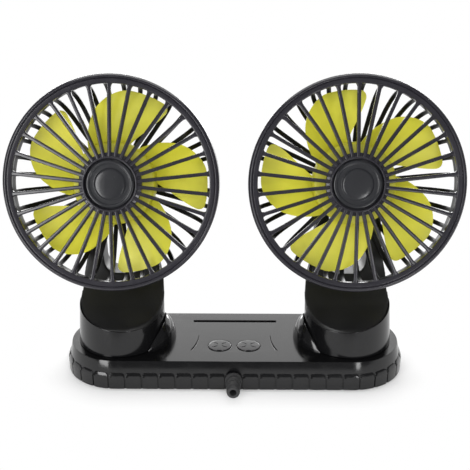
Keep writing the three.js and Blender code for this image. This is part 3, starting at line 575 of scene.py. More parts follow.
def carved(bm, tools, voxel=0.0, relax=0):
    """A solid that others are joined to, cut from or crossed with; a voxel size melts its edges together."""
    body = loose(bm)
    helpers = []
    for operation, tool in tools:
        helpers.append(loose(tool))
        modifier = body.modifiers.new(operation, "BOOLEAN")
        modifier.operation = operation
        modifier.solver = "EXACT"
        modifier.object = helpers[-1]
    if voxel:
        melt = body.modifiers.new("melt", "REMESH")
        melt.mode = "VOXEL"
        melt.voxel_size = voxel
    finished = body.evaluated_get(bpy.context.evaluated_depsgraph_get())
    mesh = bpy.data.meshes.new_from_object(finished)
    made = bmesh.new()
    made.from_mesh(mesh)
    for item in helpers + [body]:
        bpy.data.objects.remove(item)
    for _ in range(relax):
        bmesh.ops.smooth_vert(made, verts=made.verts, factor=0.5, use_axis_x=True, use_axis_y=True,
                              use_axis_z=True)
    return made


def crisp(bm, angle):
    """The edges that bend more than an angle in degrees."""
    return [e for e in bm.edges if len(e.link_faces) == 2 and e.calc_face_angle(0) > math.radians(angle)]


def bevelled(bm, edges, offset, segments=2):
    bmesh.ops.bevel(bm, geom=list(edges), offset=offset, segments=segments, profile=0.5, affect="EDGES",
                    clamp_overlap=True, material=-1)


def shells(bm):
    """The faces of each connected shell."""
    seen = set()
    groups = []
    for start in bm.faces:
        if start in seen:
            continue
        seen.add(start)
        group = [start]
        for face in group:
            for edge in face.edges:
                fresh = [other for other in edge.link_faces if other not in seen]
                seen.update(fresh)
                group += fresh
        groups.append(group)
    return groups


def face_outwards(bm):
    """Turns all faces outwards, also of a thin shell that the recalculation leaves inside out."""
    bmesh.ops.recalc_face_normals(bm, faces=bm.faces)
    for group in shells(bm):
        if sum(f.calc_area() * f.normal.dot(f.calc_center_median()) for f in group) < 0:
            bmesh.ops.reverse_faces(bm, faces=group)


def piece(name, bm, place, body, slot, nodes, sharp=35, weighted=False):
    """A finished piece, in metres at its place, which rides on a body and stands for CAD nodes."""
    face_outwards(bm)
    bm.transform(METRES @ place)
    mesh = bpy.data.meshes.new(name)
    bm.to_mesh(mesh)
    bm.free()
    mesh.shade_smooth()
    mesh.set_sharp_from_angle(angle=math.radians(sharp))
    mesh.materials.append(MATERIALS[slot])
    made = bpy.data.objects.new(name, mesh)
    bpy.context.scene.collection.objects.link(made)
    if weighted:
        normals = made.modifiers.new("even shading", "WEIGHTED_NORMAL")
        normals.keep_sharp = True
    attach(made, body)
    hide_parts(*nodes)


def turret_place(side):
    return Matrix.Translation((side * HALF_PITCH, 0, 0))


def head_place(side):
    centre = Matrix.Translation((side * HALF_PITCH, *HEAD_CENTRE))
    return centre @ Matrix.Rotation(math.pi / 2 - HEAD_TILT, 4, "X")


# Base housing

def deck_lines():
    """Closed outlines on the deck: the slot and two curved grooves, then the holes that go through."""
    corners = ((-1, SLOT_FRONT), (1, SLOT_FRONT), (1, SLOT_BACK), (-1, SLOT_BACK))
    slot = softened([(side * SLOT_HALF_LENGTH, y, SLOT_ROUND) for side, y in corners])
    grooves = []
    for side in (-1, 1):
        start, bend, foot = (Vector((side * x, y)) for x, y in SIDE_GROOVE)
        middle = [start * (1 - t) ** 2 + bend * (2 * t * (1 - t)) + foot * t * t
                  for t in (k / 10 for k in range(11))]
        widths = [SIDE_GROOVE_START + SIDE_GROOVE_SWELL * k / 10 for k in range(11)]
        widths[-1] *= 0.5
        left = [(p.x - w, p.y) for p, w in zip(middle, widths)]
        right = [(p.x + w, p.y) for p, w in zip(middle, widths)]
        grooves.append(left + right[::-1])
    holes = [circle(side * BUTTON_PLACE[0], BUTTON_PLACE[1], BUTTON_HOLE, 56) for side in (-1, 1)]
    holes += [circle(side * HALF_PITCH, 0, NECK_HOLE) for side in (-1, 1)]
    return [slot] + grooves, holes


def stadium(radius, steps=60):
    """The base's outline at a radius from the line between the turrets."""
    half_turn = [math.pi * (k / steps - 0.5) for k in range(steps + 1)]
    right = [(HALF_PITCH + radius * math.cos(a), radius * math.sin(a)) for a in half_turn]
    return right + [(-x, -y) for x, y in right]


def circle(x, y, radius, steps=72):
    return [(x + radius * math.cos(2 * math.pi * k / steps), y + radius * math.sin(2 * math.pi * k / steps))
            for k in range(steps)]


def outward(point, radius, height):
    """The place on the base's outline nearest to a point, at a radius from the turrets' line."""
    if abs(point.x) <= HALF_PITCH:
        return Vector((point.x, math.copysign(radius, point.y), height))
    centre = Vector((math.copysign(HALF_PITCH, point.x), 0, 0))
    away = Vector((point.x, point.y, 0)) - centre
    return centre + away.normalized() * radius + Vector((0, 0, height))


def skirt(bm, edges, radius, height):
    """Carries the outline's edges on to a radius and a height. Gives the new edges."""
    made = bmesh.ops.extrude_edge_only(bm, edges=edges)["geom"]
    for v in (item for item in made if isinstance(item, bmesh.types.BMVert)):
        v.co = outward(v.co, radius, height)
    return [e for e in made if isinstance(e, bmesh.types.BMEdge) and len(e.link_faces) == 1]


def sunk(bm, edges, depth):
    """Carries edges straight down. Gives the new ones."""
    made = bmesh.ops.extrude_edge_only(bm, edges=edges)["geom"]
    bmesh.ops.translate(bm, verts=[v for v in made if isinstance(v, bmesh.types.BMVert)], vec=(0, 0, -depth))
    return [e for e in made if isinstance(e, bmesh.types.BMEdge) and len(e.link_faces) == 1]


def base_shell():
    """A flat deck with sunk lines, a leaning side, an upright rim and a hollow underneath."""
    bm = bmesh.new()
    blind, holes = deck_lines()
    outline = stadium(TOP_RADIUS)
    loops = [chain(bm, [(x, y, BASE_HEIGHT) for x, y in line])[1] for line in [outline] + blind + holes]
    marks = [edge for edges in loops for edge in edges]
    bmesh.ops.triangle_fill(bm, use_beauty=True, edges=marks, normal=(0, 0, 1))
    for edges in loops[1:len(blind) + 1]:
        bmesh.ops.contextual_create(bm, geom=sunk(bm, edges, GROOVE_DEPTH))
    drops = []
    for edges in loops[len(blind) + 1:]:
        drops += sunk(bm, edges, BASE_HEIGHT - CEILING)
    line = loops[0]
    for radius, height in ((RIM_CORE_RADIUS, RIM_HEIGHT), (RIM_CORE_RADIUS, RIM_BOTTOM),
                           (CAVITY_RADIUS, RIM_BOTTOM), (CAVITY_RADIUS, CEILING)):
        line = skirt(bm, line, radius, height)
    bmesh.ops.triangle_fill(bm, use_beauty=True, edges=line + drops, normal=(0, 0, -1))
    bevelled(bm, marks, DECK_EDGE_ROUND)
    return bm


def rim_station(distance, lap):
    """A placing on the base's outline, a distance along it from the middle of the front: across, then up."""
    bend = math.pi * RIM_RADIUS
    left = distance % lap
    if left < HALF_PITCH:
        return basis((0, -1, 0), (0, 0, 1), (-1, 0, 0), (left, 0, 0))
    left -= HALF_PITCH
    side = 1
    if left >= bend:
        left -= bend
        if left < 2 * HALF_PITCH:
            return basis((0, 1, 0), (0, 0, 1), (1, 0, 0), (HALF_PITCH - left, 0, 0))
        left -= 2 * HALF_PITCH
        side = -1
        if left >= bend:
            return basis((0, -1, 0), (0, 0, 1), (-1, 0, 0), (left - bend - HALF_PITCH, 0, 0))
    angle = left / RIM_RADIUS - side * math.pi / 2
    across = Vector((math.cos(angle), math.sin(angle), 0))
    return basis(across, (0, 0, 1), across.cross(Vector((0, 0, 1))), (side * HALF_PITCH, 0, 0))


def pad_radius(height):
    """How far out a pad's face lies: upright on the rim, then leaning with the slope, a little proud."""
    if height <= RIM_HEIGHT:
        return RIM_RADIUS
    lean = (RIM_CORE_RADIUS - TOP_RADIUS) / (BASE_HEIGHT - RIM_HEIGHT)
    share = (height - RIM_HEIGHT) / (PAD_TOP - RIM_HEIGHT)
    return RIM_RADIUS + share * (RIM_CORE_RADIUS + PAD_PROUD - RIM_RADIUS) - lean * (height - RIM_HEIGHT)


def rim_pads():
    """Pads with arched tops all round the rim."""
    bm = bmesh.new()
    lap = 2 * (2 * HALF_PITCH + math.pi * RIM_RADIUS)
    pitch = lap / PAD_COUNT
    half = (pitch - PAD_GAP) / 2
    outline = softened([(-half, RIM_BOTTOM, PAD_FOOT_ROUND), (half, RIM_BOTTOM, PAD_FOOT_ROUND),
                        (half, PAD_TOP, PAD_ARCH_ROUND), (-half, PAD_TOP, PAD_ARCH_ROUND)])
    pad = prism([(u, v, 0) for u, v in outline], (0, 0, 0), (0, 0, PAD_THICKNESS))
    for place, way in [((0, RIM_HEIGHT, 0), (0, 1, 0))] + [((u, 0, 0), (1, 0, 0)) for u in PAD_BENDS]:
        bmesh.ops.bisect_plane(pad, geom=pad.verts[:] + pad.edges[:] + pad.faces[:], plane_co=place,
                               plane_no=way)
    face_edges = [e for e in crisp(pad, 30) if all(v.co.z > PAD_THICKNESS / 2 for v in e.verts)]
    bevelled(pad, face_edges, PAD_EDGE_ROUND)
    mesh = bpy.data.meshes.new("pad")
    pad.to_mesh(mesh)
    pad.free()
    for i in range(PAD_COUNT):
        count = len(bm.verts)
        bm.from_mesh(mesh)
        bm.verts.ensure_lookup_table()
        for v in bm.verts[count:]:
            along, height, out = v.co
            radius = pad_radius(height) - PAD_THICKNESS + out
            v.co = rim_station((i * pitch + along) % lap, lap) @ Vector((radius, height, 0))
    return bm


def grip_mat():
    """The soft mat underneath, its edges rounded, with a shallow groove along its border."""
    bm = bmesh.new()
    face = bm.faces.new([bm.verts.new((x, y, MAT_THICKNESS)) for x, y in stadium(MAT_RADIUS)])
    sides = bmesh.ops.extrude_face_region(bm, geom=[face], use_keep_orig=True)["geom"]
    under = next(item for item in sides if isinstance(item, bmesh.types.BMFace))
    bmesh.ops.translate(bm, verts=under.verts[:], vec=(0, 0, -MAT_THICKNESS))
    bevelled(bm, crisp(bm, 60), MAT_EDGE_ROUND)
    under = min(bm.faces, key=lambda f: (f.calc_center_median().z, -f.calc_area()))
    for reach, depth in MAT_GROOVE:
        bmesh.ops.inset_region(bm, faces=[under], thickness=reach, depth=0, use_even_offset=True)
        bmesh.ops.translate(bm, verts=under.verts[:], vec=(0, 0, depth))
    return bm


def push_button():
    """A crowned cap with four short curved grooves and a notch at its front."""
    bm = bmesh.new()
    lathe(bm, [(0, BUTTON_FOOT), (BUTTON_LIP, BUTTON_FOOT), (BUTTON_LIP, BUTTON_LIP_TOP, 0.2),
               (BUTTON_RADIUS, BUTTON_LIP_TOP), (BUTTON_RADIUS, 20.3, 0.45), (5, 20.55, 1.5),
               (0, BUTTON_CROWN)], 72)
    tools = []
    for angle, bow in BUTTON_GROOVES:
        way = Vector((math.cos(math.radians(angle)), math.sin(math.radians(angle)), 0))
        side = Vector((-way.y, way.x, 0))
        upper, lower = [], []
        for k in range(7):
            t = k / 6
            middle = way * (BUTTON_GROOVE_FROM + BUTTON_GROOVE_LENGTH * t)
            middle += side * (bow * math.sin(math.pi * t))
            half = 0.1 + 0.3 * math.sin(math.pi * (0.15 + 0.7 * t))
            upper.append(middle + side * half)
            lower.append(middle - side * half)
        groove = prism(upper + lower[::-1], (0, 0, BUTTON_GROOVE_FLOOR), (0, 0, 2 * OVERRUN))
        tools.append(("DIFFERENCE", groove))
    notch = softened([(-1.9, -9.0), (1.9, -9.0), (1.6, -6.5, 0.6), (-1.6, -6.5, 0.6)])
    notch = prism([(a, b, 0) for a, b in notch], (0, 0, BUTTON_NOTCH_FLOOR), (0, 0, 3 * OVERRUN))
    return carved(bm, tools + [("DIFFERENCE", notch)])


def gland():
    """A flange, three cone-shaped ribs and an open bore, along -Y."""
    bm = bmesh.new()
    start, tip = RIM_RADIUS + GLAND_GAP, RIM_RADIUS + GLAND_REACH
    outer = [(GLAND_NECK, GLAND_BACK), (GLAND_NECK, start), (GLAND_FLANGE, start, 0.3),
             (GLAND_FLANGE, start + GLAND_FLANGE_THICKNESS, 0.4)]
    collar = GLAND_FLANGE_THICKNESS + 0.3
    length = (tip - start - collar) / GLAND_RIBS
    for i in range(GLAND_RIBS):
        at = start + collar + i * length
        outer += [(4.2 - 0.25 * i, at, 0.2), (5.35 - 0.45 * i, at + 0.55 * length, 0.5),
                  (4.6 - 0.4 * i, at + 0.95 * length, 0.3)]
    outer[-1] = (GLAND_NECK, tip, 0.5)
    lathe(bm, outer + [(GLAND_BORE, tip, 0.4), (GLAND_BORE, GLAND_BACK)], 48,
          Matrix.Translation((0, 0, GLAND_HEIGHT)) @ Matrix.Rotation(math.pi / 2, 4, "X"))
    return bm


def deck_shoulder():
    """A rounded crescent on the deck, hugging a sleeve from the base's middle: highest and widest there."""
    section = [(0, 0), (1, 0)]
    section += [(math.cos(a) ** 1.5, math.sin(a)) for a in (math.pi / 2 * k / 14 for k in range(1, 14))]
    stations = []
    for k in range(2 * SHOULDER_STEPS + 1):
        along = k / SHOULDER_STEPS - 1
        turn = math.radians(SHOULDER_REACH * along)
        share = max(0.02, math.cos(math.pi / 2 * along))
        out = Vector((math.cos(turn), math.sin(turn), 0))
        foot = out * SHOULDER_RADIUS + Vector((0, 0, BASE_HEIGHT - SHOULDER_SINK))
        size = (SHOULDER_WIDTH * share ** 0.9, SHOULDER_HEIGHT * share ** 0.7, 1, 1)
        stations.append(basis(out, (0, 0, 1), out.cross(Vector((0, 0, 1))), foot) @ Matrix.Diagonal(size))
    bm = bmesh.new()
    bar(bm, section + [(0, 1)], stations)
    return bm


def base_pieces():
    here = Matrix.Identity(4)
    piece("base_shell", base_shell(), here, "base", "housing_gloss_black", ["base_housing"], 32, True)
    piece("rim_pads", rim_pads(), here, "base", "housing_gloss_black", ["base_housing"], 50, True)
    piece("grip_mat", grip_mat(), here, "base", "rubber_black", ["non_slip_mat"], 30, True)
    piece("cable_gland_ribbed", gland(), here, "base", "rubber_black", ["cable_gland"], 40)
    for side, word in SIDES:
        place = turret_place(side) @ Matrix.Rotation(math.pi if side > 0 else 0.0, 4, "Z")
        piece(f"deck_shoulder_{word}", deck_shoulder(), place, "base", "housing_gloss_black",
              ["base_housing"], 50)
        place = Matrix.Translation((side * BUTTON_PLACE[0], BUTTON_PLACE[1], 0))
        piece(f"button_cap_{word}", push_button(), place, f"button_body_{word}", "button_black",
              [f"button_{word}"], 40)


# Turret

def smooth(value, low, high):
    """0 below low, 1 above high, and easing in between."""
    share = min(1.0, max(0.0, (value - low) / (high - low)))
    return share * share * (3 - 2 * share)


def sleeve_point(side, turn, height, scale):
    """A place on the sleeve's nearly upright wall, between two ovals."""
    close = min(1.0, max(0.0, (height - SLEEVE_BOTTOM) / (SLEEVE_RIM - SLEEVE_BOTTOM)))
    shift, across, along = (foot + (rim - foot) * close for foot, rim in zip(FOOT_OVAL, RIM_OVAL))
    return -side * (shift + across * scale * math.cos(turn)), along * scale * math.sin(turn)


def turret_sleeve(side):
    """An upright cup with a slanting rim."""
    bm = bmesh.new()
    slant_from, inner = SLEEVE_BOTTOM + 1, SLEEVE_RADIUS - SLEEVE_WALL
    lathe(bm, [(NECK_BORE, NECK_FOOT), (NECK_RADIUS, NECK_FOOT), (NECK_RADIUS, SLEEVE_BOTTOM),
               (SLEEVE_RADIUS, SLEEVE_BOTTOM, 0.2), (SLEEVE_RADIUS, slant_from),
               (SLEEVE_RADIUS, SLEEVE_MIDDLE), (SLEEVE_RADIUS, SLEEVE_RIM - 1.2),
               (SLEEVE_RADIUS, SLEEVE_RIM - 0.5), (SLEEVE_RADIUS, SLEEVE_RIM, 0.2), (inner, SLEEVE_RIM, 0.2),
               (inner, SLEEVE_FLOOR), (NECK_BORE, SLEEVE_FLOOR)], 128)
    for v in bm.verts:
        radius = math.hypot(v.co.x, v.co.y)
        if radius > NECK_RADIUS + 0.5:
            turn = math.atan2(v.co.y, -side * v.co.x)
            v.co.x, v.co.y = sleeve_point(side, turn, v.co.z, radius / SLEEVE_RADIUS)
        share = max(0.0, (v.co.z - slant_from) / (SLEEVE_RIM - slant_from))
        slant = SLEEVE_SLOPE * min(v.co.y, SLEEVE_BACK_SHARE * v.co.y)
        v.co.z += (slant + SLEEVE_DIP * side * v.co.x) * share
    return bm


def yoke_column():
    """The slanting round column, upright in the sleeve and widening above it; it starts over the floor."""
    rise = PIVOT_Z - YOKE_RISE_FROM
    levels = [(0, YOKE_RADIUS, SLEEVE_FLOOR), (0, YOKE_RADIUS, SLEEVE_FLOOR + 10)]
    levels += [(shift * PIVOT_Y, YOKE_RADIUS + widen * PIVOT_BOSS, YOKE_RISE_FROM + up * rise)
               for shift, widen, up in YOKE_COLUMN]
    oval = [(x, y * RIM_OVAL[2] / RIM_OVAL[1]) for x, y in circle(0, 0, 1, 96)]
    bm = bmesh.new()
    bar(bm, oval, [Matrix.Translation((0, y, z)) @ Matrix.Diagonal((r, r, 1, 1))
                   for y, r, z in through(levels, 4)[1:]])
    return bm


def yoke_side():
    """The fork's outline from the side, carried across it."""
    span = PIVOT_Y - PIVOT_BOSS + YOKE_RADIUS
    rise = PIVOT_Z - PIVOT_BOSS - YOKE_LOW
    front = through([(a * span - YOKE_RADIUS - OVERRUN, YOKE_LOW + b * rise) for a, b in YOKE_FRONT], 4)
    boss = [(PIVOT_Y + PIVOT_BOSS * math.cos(a), PIVOT_Z + PIVOT_BOSS * math.sin(a))
            for a in (math.pi * (1 - k / 24) for k in range(1, 25))]
    span = PIVOT_Y + PIVOT_BOSS - YOKE_RADIUS
    rise = PIVOT_Z - YOKE_RISE_FROM
    back = through([(YOKE_RADIUS + a * span, YOKE_RISE_FROM + b * rise) for a, b in YOKE_BACK], 4)
    line = [(-YOKE_RADIUS - OVERRUN, SLEEVE_FLOOR)] + [tuple(p) for p in front] + boss
    line += [tuple(p) for p in back[-2::-1]] + [(YOKE_RADIUS + OVERRUN, YOKE_RISE_FROM - 2)]
    line += [(YOKE_RADIUS + OVERRUN, SLEEVE_FLOOR)]
    return prism([(0, y, z) for y, z in line], (-60, 0, 0), (120, 0, 0))


def yoke_front():
    """The fork's outline from the front, carried from front to back."""
    top = PIVOT_Z + PIVOT_BOSS + 2 * OVERRUN
    rise = PIVOT_Z + PIVOT_BOSS + 0.5 - YOKE_RISE_FROM
    wide = YOKE_RADIUS + YOKE_FLARE
    edge = through([(wide + a * (YOKE_HALF_WIDTH - wide), YOKE_RISE_FROM + b * rise)
                    for a, b in YOKE_WIDTH], 4)
    inner = [(ARM_INNER, top), (ARM_INNER, PIVOT_Z - PIVOT_BOSS), (CROTCH_HALF_WIDTH, PIVOT_Z - ARM_TAPER)]
    turns = [math.pi / 2 * k / 8 for k in range(9)]
    inner += [(CROTCH_HALF_WIDTH - CROTCH_FILLET * (1 - math.cos(a)),
               CROTCH_HEIGHT + CROTCH_FILLET * (1 - math.sin(a))) for a in turns]
    right = [(wide, SLEEVE_FLOOR)] + [tuple(p) for p in edge] + [(YOKE_HALF_WIDTH, top)] + inner
    line = right + [(-x, z) for x, z in right[::-1]]
    return prism([(x, 0, z) for x, z in line], (0, -90, 0), (0, 180, 0))


def yoke(side):
    """The fork. Low down it is shifted to the base's middle, as the sleeve's rim is."""
    tools = [("INTERSECT", yoke_side()), ("INTERSECT", yoke_front())]
    for end in (-1, 1):
        place = Matrix.Translation((0, PIVOT_Y, PIVOT_Z)) @ Matrix.Rotation(end * math.pi / 2, 4, "Y")
        seat = rod(PIN_SEAT, YOKE_HALF_WIDTH - PIN_SEAT_DEPTH, YOKE_HALF_WIDTH + 5 * OVERRUN, 40, place)
        tools.append(("DIFFERENCE", seat))
    bm = carved(yoke_column(), tools, 0.7, 3)
    for v in bm.verts:
        v.co.x -= side * YOKE_SHIFT * (1 - smooth(v.co.z, YOKE_SHIFT_FROM, YOKE_SHIFT_TO))
    return bm


def turret_pieces():
    for side, word in SIDES:
        place, body = turret_place(side), f"turret_{word}"
        piece(f"turret_sleeve_{word}", turret_sleeve(side), place, body, "housing_gloss_black",
              [f"turret_shell_{word}"], 40, True)
        piece(f"turret_fork_{word}", yoke(side), place, body, "satin_black", [f"yoke_{word}"], 40)


# Head

def front_ring(bm):
    """The ring round the ribs, with a fine groove in its face and a socket for the rear cage."""
    lathe(bm, [(RING_INNER, -RING_THICKNESS, 0.4), (RING_INNER, -0.55, 0.6), (66.6, -0.35, 0.3),
               (67.0, -1.0, 0.2), (67.4, -0.1, 0.3), (68.2, 0, 0.5), (RING_RADIUS, -1.3, 0.9),
               (RING_RADIUS, -RING_DEPTH, 0.4), (RING_SOCKET, -RING_DEPTH, 0.4),
               (RING_SOCKET, -RING_THICKNESS, 0.4)], 180)


def front_hub(bm):
    """The hub that the ribs run into, with a collar round the cap's seat."""
    lathe(bm, [(0, -1.8), (CAP_SEAT, -1.8, 0.2), (CAP_SEAT, 2.9, 0.45), (HUB_COLLAR, 2.9, 0.5),
               (HUB_COLLAR, 0.9, 0.3), (FRONT_HUB, 0.3, 0.5), (FRONT_HUB, -4, 0.4), (0, -4)], 144)


def front_rib(bm):
    """A straight rib whose foot on the ring spreads into it."""
    half, deep = FRONT_RIB_WIDTH / 2, FRONT_RIB_DEPTH
    section = softened([(-half, -deep / 2, 0.4), (half, -deep / 2, 0.4), (half, deep / 2, 0.75),
                        (-half, deep / 2, 0.75)])
    stations = []
    for radius, spread in ((17.4, 1), (21.5, 1), (35, 1), (50, 1), (60.6, 1), (61.8, 1.06), (62.6, 1.2),
                           (63.2, 1.45), (63.7, 1.9), (64.4, 1.9)):
        share = (radius - FRONT_HUB) / (RING_INNER - FRONT_HUB)
        middle = 1.9 - share * 2.8 - deep / 2
        stations.append(basis((1, 0, 0), (0, 0, 1), (0, -1, 0), (0, radius, middle)) @
                        Matrix.Diagonal((spread, 1, 1, 1)))
    return bar(bm, section, stations)


def front_grille():
    bm = bmesh.new()
    ringed(bm, front_rib(bm), FRONT_RIBS)
    front_ring(bm)
    front_hub(bm)
    return bm


def hub_cap():
    """A lobed ring, a flat land and a chamfered disc."""
    bm = bmesh.new()
    lathe(bm, [(0, -1.5), (CAP_RADIUS, -1.5), (CAP_RADIUS, 0.75, 0.3), (14.9, 1.3, 0.5), (13.3, 1.3, 0.5),
               (12.8, 0.8, 0.2), (10.4, 0.8, 0.2), (9.3, 1.75, 0.6), (6.5, 2.05, 1), (3.5, 2.17, 1),
               (0, 2.2)], 180)
    notches = []
    for i in range(CAP_NOTCHES):
        angle = math.radians(CAP_NOTCH_TURN + 360 / CAP_NOTCHES * i)
        turn = Matrix.Rotation(-angle, 4, "Z") @ Matrix.Translation((0, CAP_RADIUS + 0.6, 0))
        outline = softened([(-2.8, -1.8, 0.9), (2.8, -1.8, 0.9), (2.8, 1.8), (-2.8, 1.8)])
        notch = prism([(a, b, -0.4) for a, b in outline], (0, 0, 0), (0, 0, 6))
        notch.transform(turn)
        notches.append(("DIFFERENCE", notch))
    return carved(bm, notches)


def rear_rib(bm):
    """A flat rib that runs back from the band, bends in and ends on the rear hub."""
    half, deep = REAR_RIB_WIDTH / 2, REAR_RIB_DEPTH
    section = softened([(-half, -deep / 2, 0.45), (half, -deep / 2, 0.45), (half, deep / 2, 0.45),
                        (-half, deep / 2, 0.45)])
    inset = 0.3 + deep / 2
    across, down = REAR_BAND - BOWL_CORNER - inset, CAGE_DEPTH - BOWL_FROM - inset
    points = [(BOWL_CORNER + across, -BOWL_FROM + 1.2)]
    points += [(BOWL_CORNER + across * math.cos(a), -BOWL_FROM - down * math.sin(a))
               for a in (math.pi / 2 * k / 10 for k in range(11))]
    points += [(37, -CAGE_DEPTH + inset), (21, -CAGE_DEPTH + inset)]
    line = [Vector(p) for p in points]
    stations = []
    for i, here in enumerate(line):
        way = (line[min(i + 1, len(line) - 1)] - line[max(i - 1, 0)]).normalized()
        stations.append(basis((1, 0, 0), (0, way.y, -way.x), (0, way.x, way.y), (0, here.x, here.y)))
    return bar(bm, section, stations)


def rear_cage():
    """The rear ribs, the band that sits in the front ring, and the hub plate with a hole for the shaft."""
    bm = bmesh.new()
    made = rear_rib(bm)
    bmesh.ops.rotate(bm, verts=made, cent=(0, 0, 0), matrix=Matrix.Rotation(REAR_RIB_TURN, 3, "Z"))
    ringed(bm, made, REAR_RIBS)
    lathe(bm, [(REAR_BAND_INNER, -BOWL_FROM, 0.5), (REAR_FLANGE, -BOWL_FROM, 0.6), (REAR_FLANGE, -13.3, 0.3),
               (REAR_BAND, -13.3), (REAR_BAND, -4.2, 0.3), (REAR_BAND_INNER, -4.2, 0.3)], 180)
    front = REAR_HUB_THICKNESS - CAGE_DEPTH
    lathe(bm, [(REAR_HUB_BORE, -CAGE_DEPTH, 0.3), (REAR_HUB, -CAGE_DEPTH, 0.6), (REAR_HUB, front, 0.6),
               (REAR_HUB_BORE, front, 0.3)], 120)
    return bm


def motor_pod():
    """A round housing, open to the front, with a trunnion across it for the pivots and two screw lugs."""
    across = Matrix.Translation((0, 0, -PIVOT_DEPTH)) @ Matrix.Rotation(math.pi / 2, 4, "Y")
    bm = bmesh.new()
    lathe(bm, [(0, -POD_BACK), (POD_RADIUS, -POD_BACK, 5), (POD_RADIUS, -POD_FRONT), (0, -POD_FRONT)], 96)
    tools = [("UNION", rod(POD_TRUNNION, -POD_HALF_SPAN, POD_HALF_SPAN, 48, across))]
    for end in (-1, 1):
        place = Matrix.Translation((0, end * LUG_PLACE, 0))
        tools.append(("UNION", rod(LUG_RADIUS, -POD_FRONT - LUG_DEPTH, -POD_FRONT, 32, place)))
    tools.append(("DIFFERENCE", rod(POD_ROOM, -POD_ROOM_BACK, -POD_FRONT + 2 * OVERRUN, 64)))
    return carved(bm, tools, 0.55, 4)


def pivot_screw():
    """A pin along Z whose domed head has a cross recess."""
    bm = bmesh.new()
    lathe(bm, [(0, PIN_FROM), (PIN_RADIUS, PIN_FROM, 0.3), (PIN_RADIUS, PIN_OUT - PIN_HEAD_HEIGHT),
               (PIN_HEAD, PIN_OUT - PIN_HEAD_HEIGHT, 0.15), (PIN_HEAD, PIN_OUT - 0.5, 0.5),
               (2.2, PIN_OUT, 0.6), (0, PIN_OUT)], 48)
    slots = []
    for turn in (0, 1):
        corners = ((-1, -1), (1, -1), (1, 1), (-1, 1))
        line = [(a * RECESS_HALF_LENGTH, b * RECESS_HALF_WIDTH, 0) for a, b in corners]
        slot = prism(line, (0, 0, PIN_OUT - RECESS_DEPTH), (0, 0, 3 * OVERRUN))
        slot.transform(Matrix.Rotation(turn * math.pi / 2 + 0.5, 4, "Z"))
        slots.append(("DIFFERENCE", slot))
    return carved(bm, slots)


def corner_drop(distance, radius):
    """How far a rounded corner falls back, at a distance along the edge that it rounds."""
    short = max(0.0, radius - distance)
    return radius - math.sqrt(radius * radius - short * short)


def blade_point(chord, span):
    """A place on a blade's middle surface, by shares of its chord and of its length."""
    tip_chord = math.radians(BLADE_TIP_ANGLE) * BLADE_TIP
    drop = corner_drop(chord * tip_chord, BLADE_FRONT_CORNER)
    drop += corner_drop((1 - chord) * tip_chord, BLADE_BACK_CORNER)
    root = FAN_HUB - BLADE_ROOT_SINK
    radius = root + span * (BLADE_TIP - drop - root)
    share = (radius - root) / (BLADE_TIP - root)
    ahead = math.radians(BLADE_FRONT_SWEEP) * (1 - share) ** 2.2
    behind = math.radians(BLADE_BACK_SWEEP + BLADE_BACK_GAIN * share)
    angle = ahead + chord * (behind - ahead)
    rise = BLADE_RISE - BLADE_RISE_LOSS * share
    height = rise * (2 * chord - 1) - BLADE_SCOOP * (1 - (2 * chord - 1) ** 2) - BLADE_PLANE
    return Vector((radius * math.sin(angle), radius * math.cos(angle), height))


def fan():
    """Five scooped blades round a cup-shaped hub."""
    bm = bmesh.new()
    bmesh.ops.create_grid(bm, x_segments=26, y_segments=20, size=0.5)
    for v in bm.verts:
        chord = 0.5 - 0.5 * math.cos(math.pi * (v.co.x + 0.5))
        span = math.sin(math.pi / 2 * (v.co.y + 0.5)) ** 0.9
        v.co = blade_point(chord, span)
    bmesh.ops.solidify(bm, geom=bm.faces[:], thickness=BLADE_THICKNESS)
    bevelled(bm, crisp(bm, 60), 0.45)
    ringed(bm, bm.verts[:], BLADES)
    front, back, inner = -FAN_HUB_FRONT, -FAN_HUB_FRONT - FAN_HUB_DEPTH, FAN_HUB - FAN_HUB_WALL
    lathe(bm, [(0, front), (FAN_HUB, front, 2.4), (FAN_HUB, back, 0.3), (inner, back, 0.3),
               (inner, front - FAN_HUB_WALL, 0.8), (FAN_BOSS, front - FAN_HUB_WALL),
               (FAN_BOSS, front - FAN_BOSS_DEPTH, 0.3), (0, front - FAN_BOSS_DEPTH)], 96)
    return bm


def head_pieces():
    recipes = (("front_cage", front_grille, "grille_grey", "front_grille", 35),
               ("hub_plate", hub_cap, "cap_grey", "hub_cap", 35),
               ("rear_cage", rear_cage, "cage_black", "rear_grille", 40),
               ("motor_pod", motor_pod, "satin_black", "motor_housing", 40),
               ("fan_wheel", fan, "fan_yellow_green", "fan_blade", 40))
    for name, recipe, slot, node, sharp in recipes:
        shape = recipe()
        for side, word in SIDES:
            place, body = head_place(side), f"head_{word}"
            if name == "fan_wheel":
                place = place @ Matrix.Rotation(-FAN_PHASES[word], 4, "Z")
                body = f"fan_{word}"
            piece(f"{name}_{word}", shape.copy(), place, body, slot, [f"{node}_{word}"], sharp)
        shape.free()
    for side, word in SIDES:
        for end, letter in PIN_ENDS:
            axis = Matrix.Translation((0, 0, -PIVOT_DEPTH)) @ Matrix.Rotation(end * math.pi / 2, 4, "Y")
            piece(f"pivot_screw_{word}_{letter}", pivot_screw(), head_place(side) @ axis, f"head_{word}",
                  "screw_steel", [f"pivot_pin_{word}_{letter}"], 35)


# Stage: pale floor, soft light, and the camera where the photograph was taken from

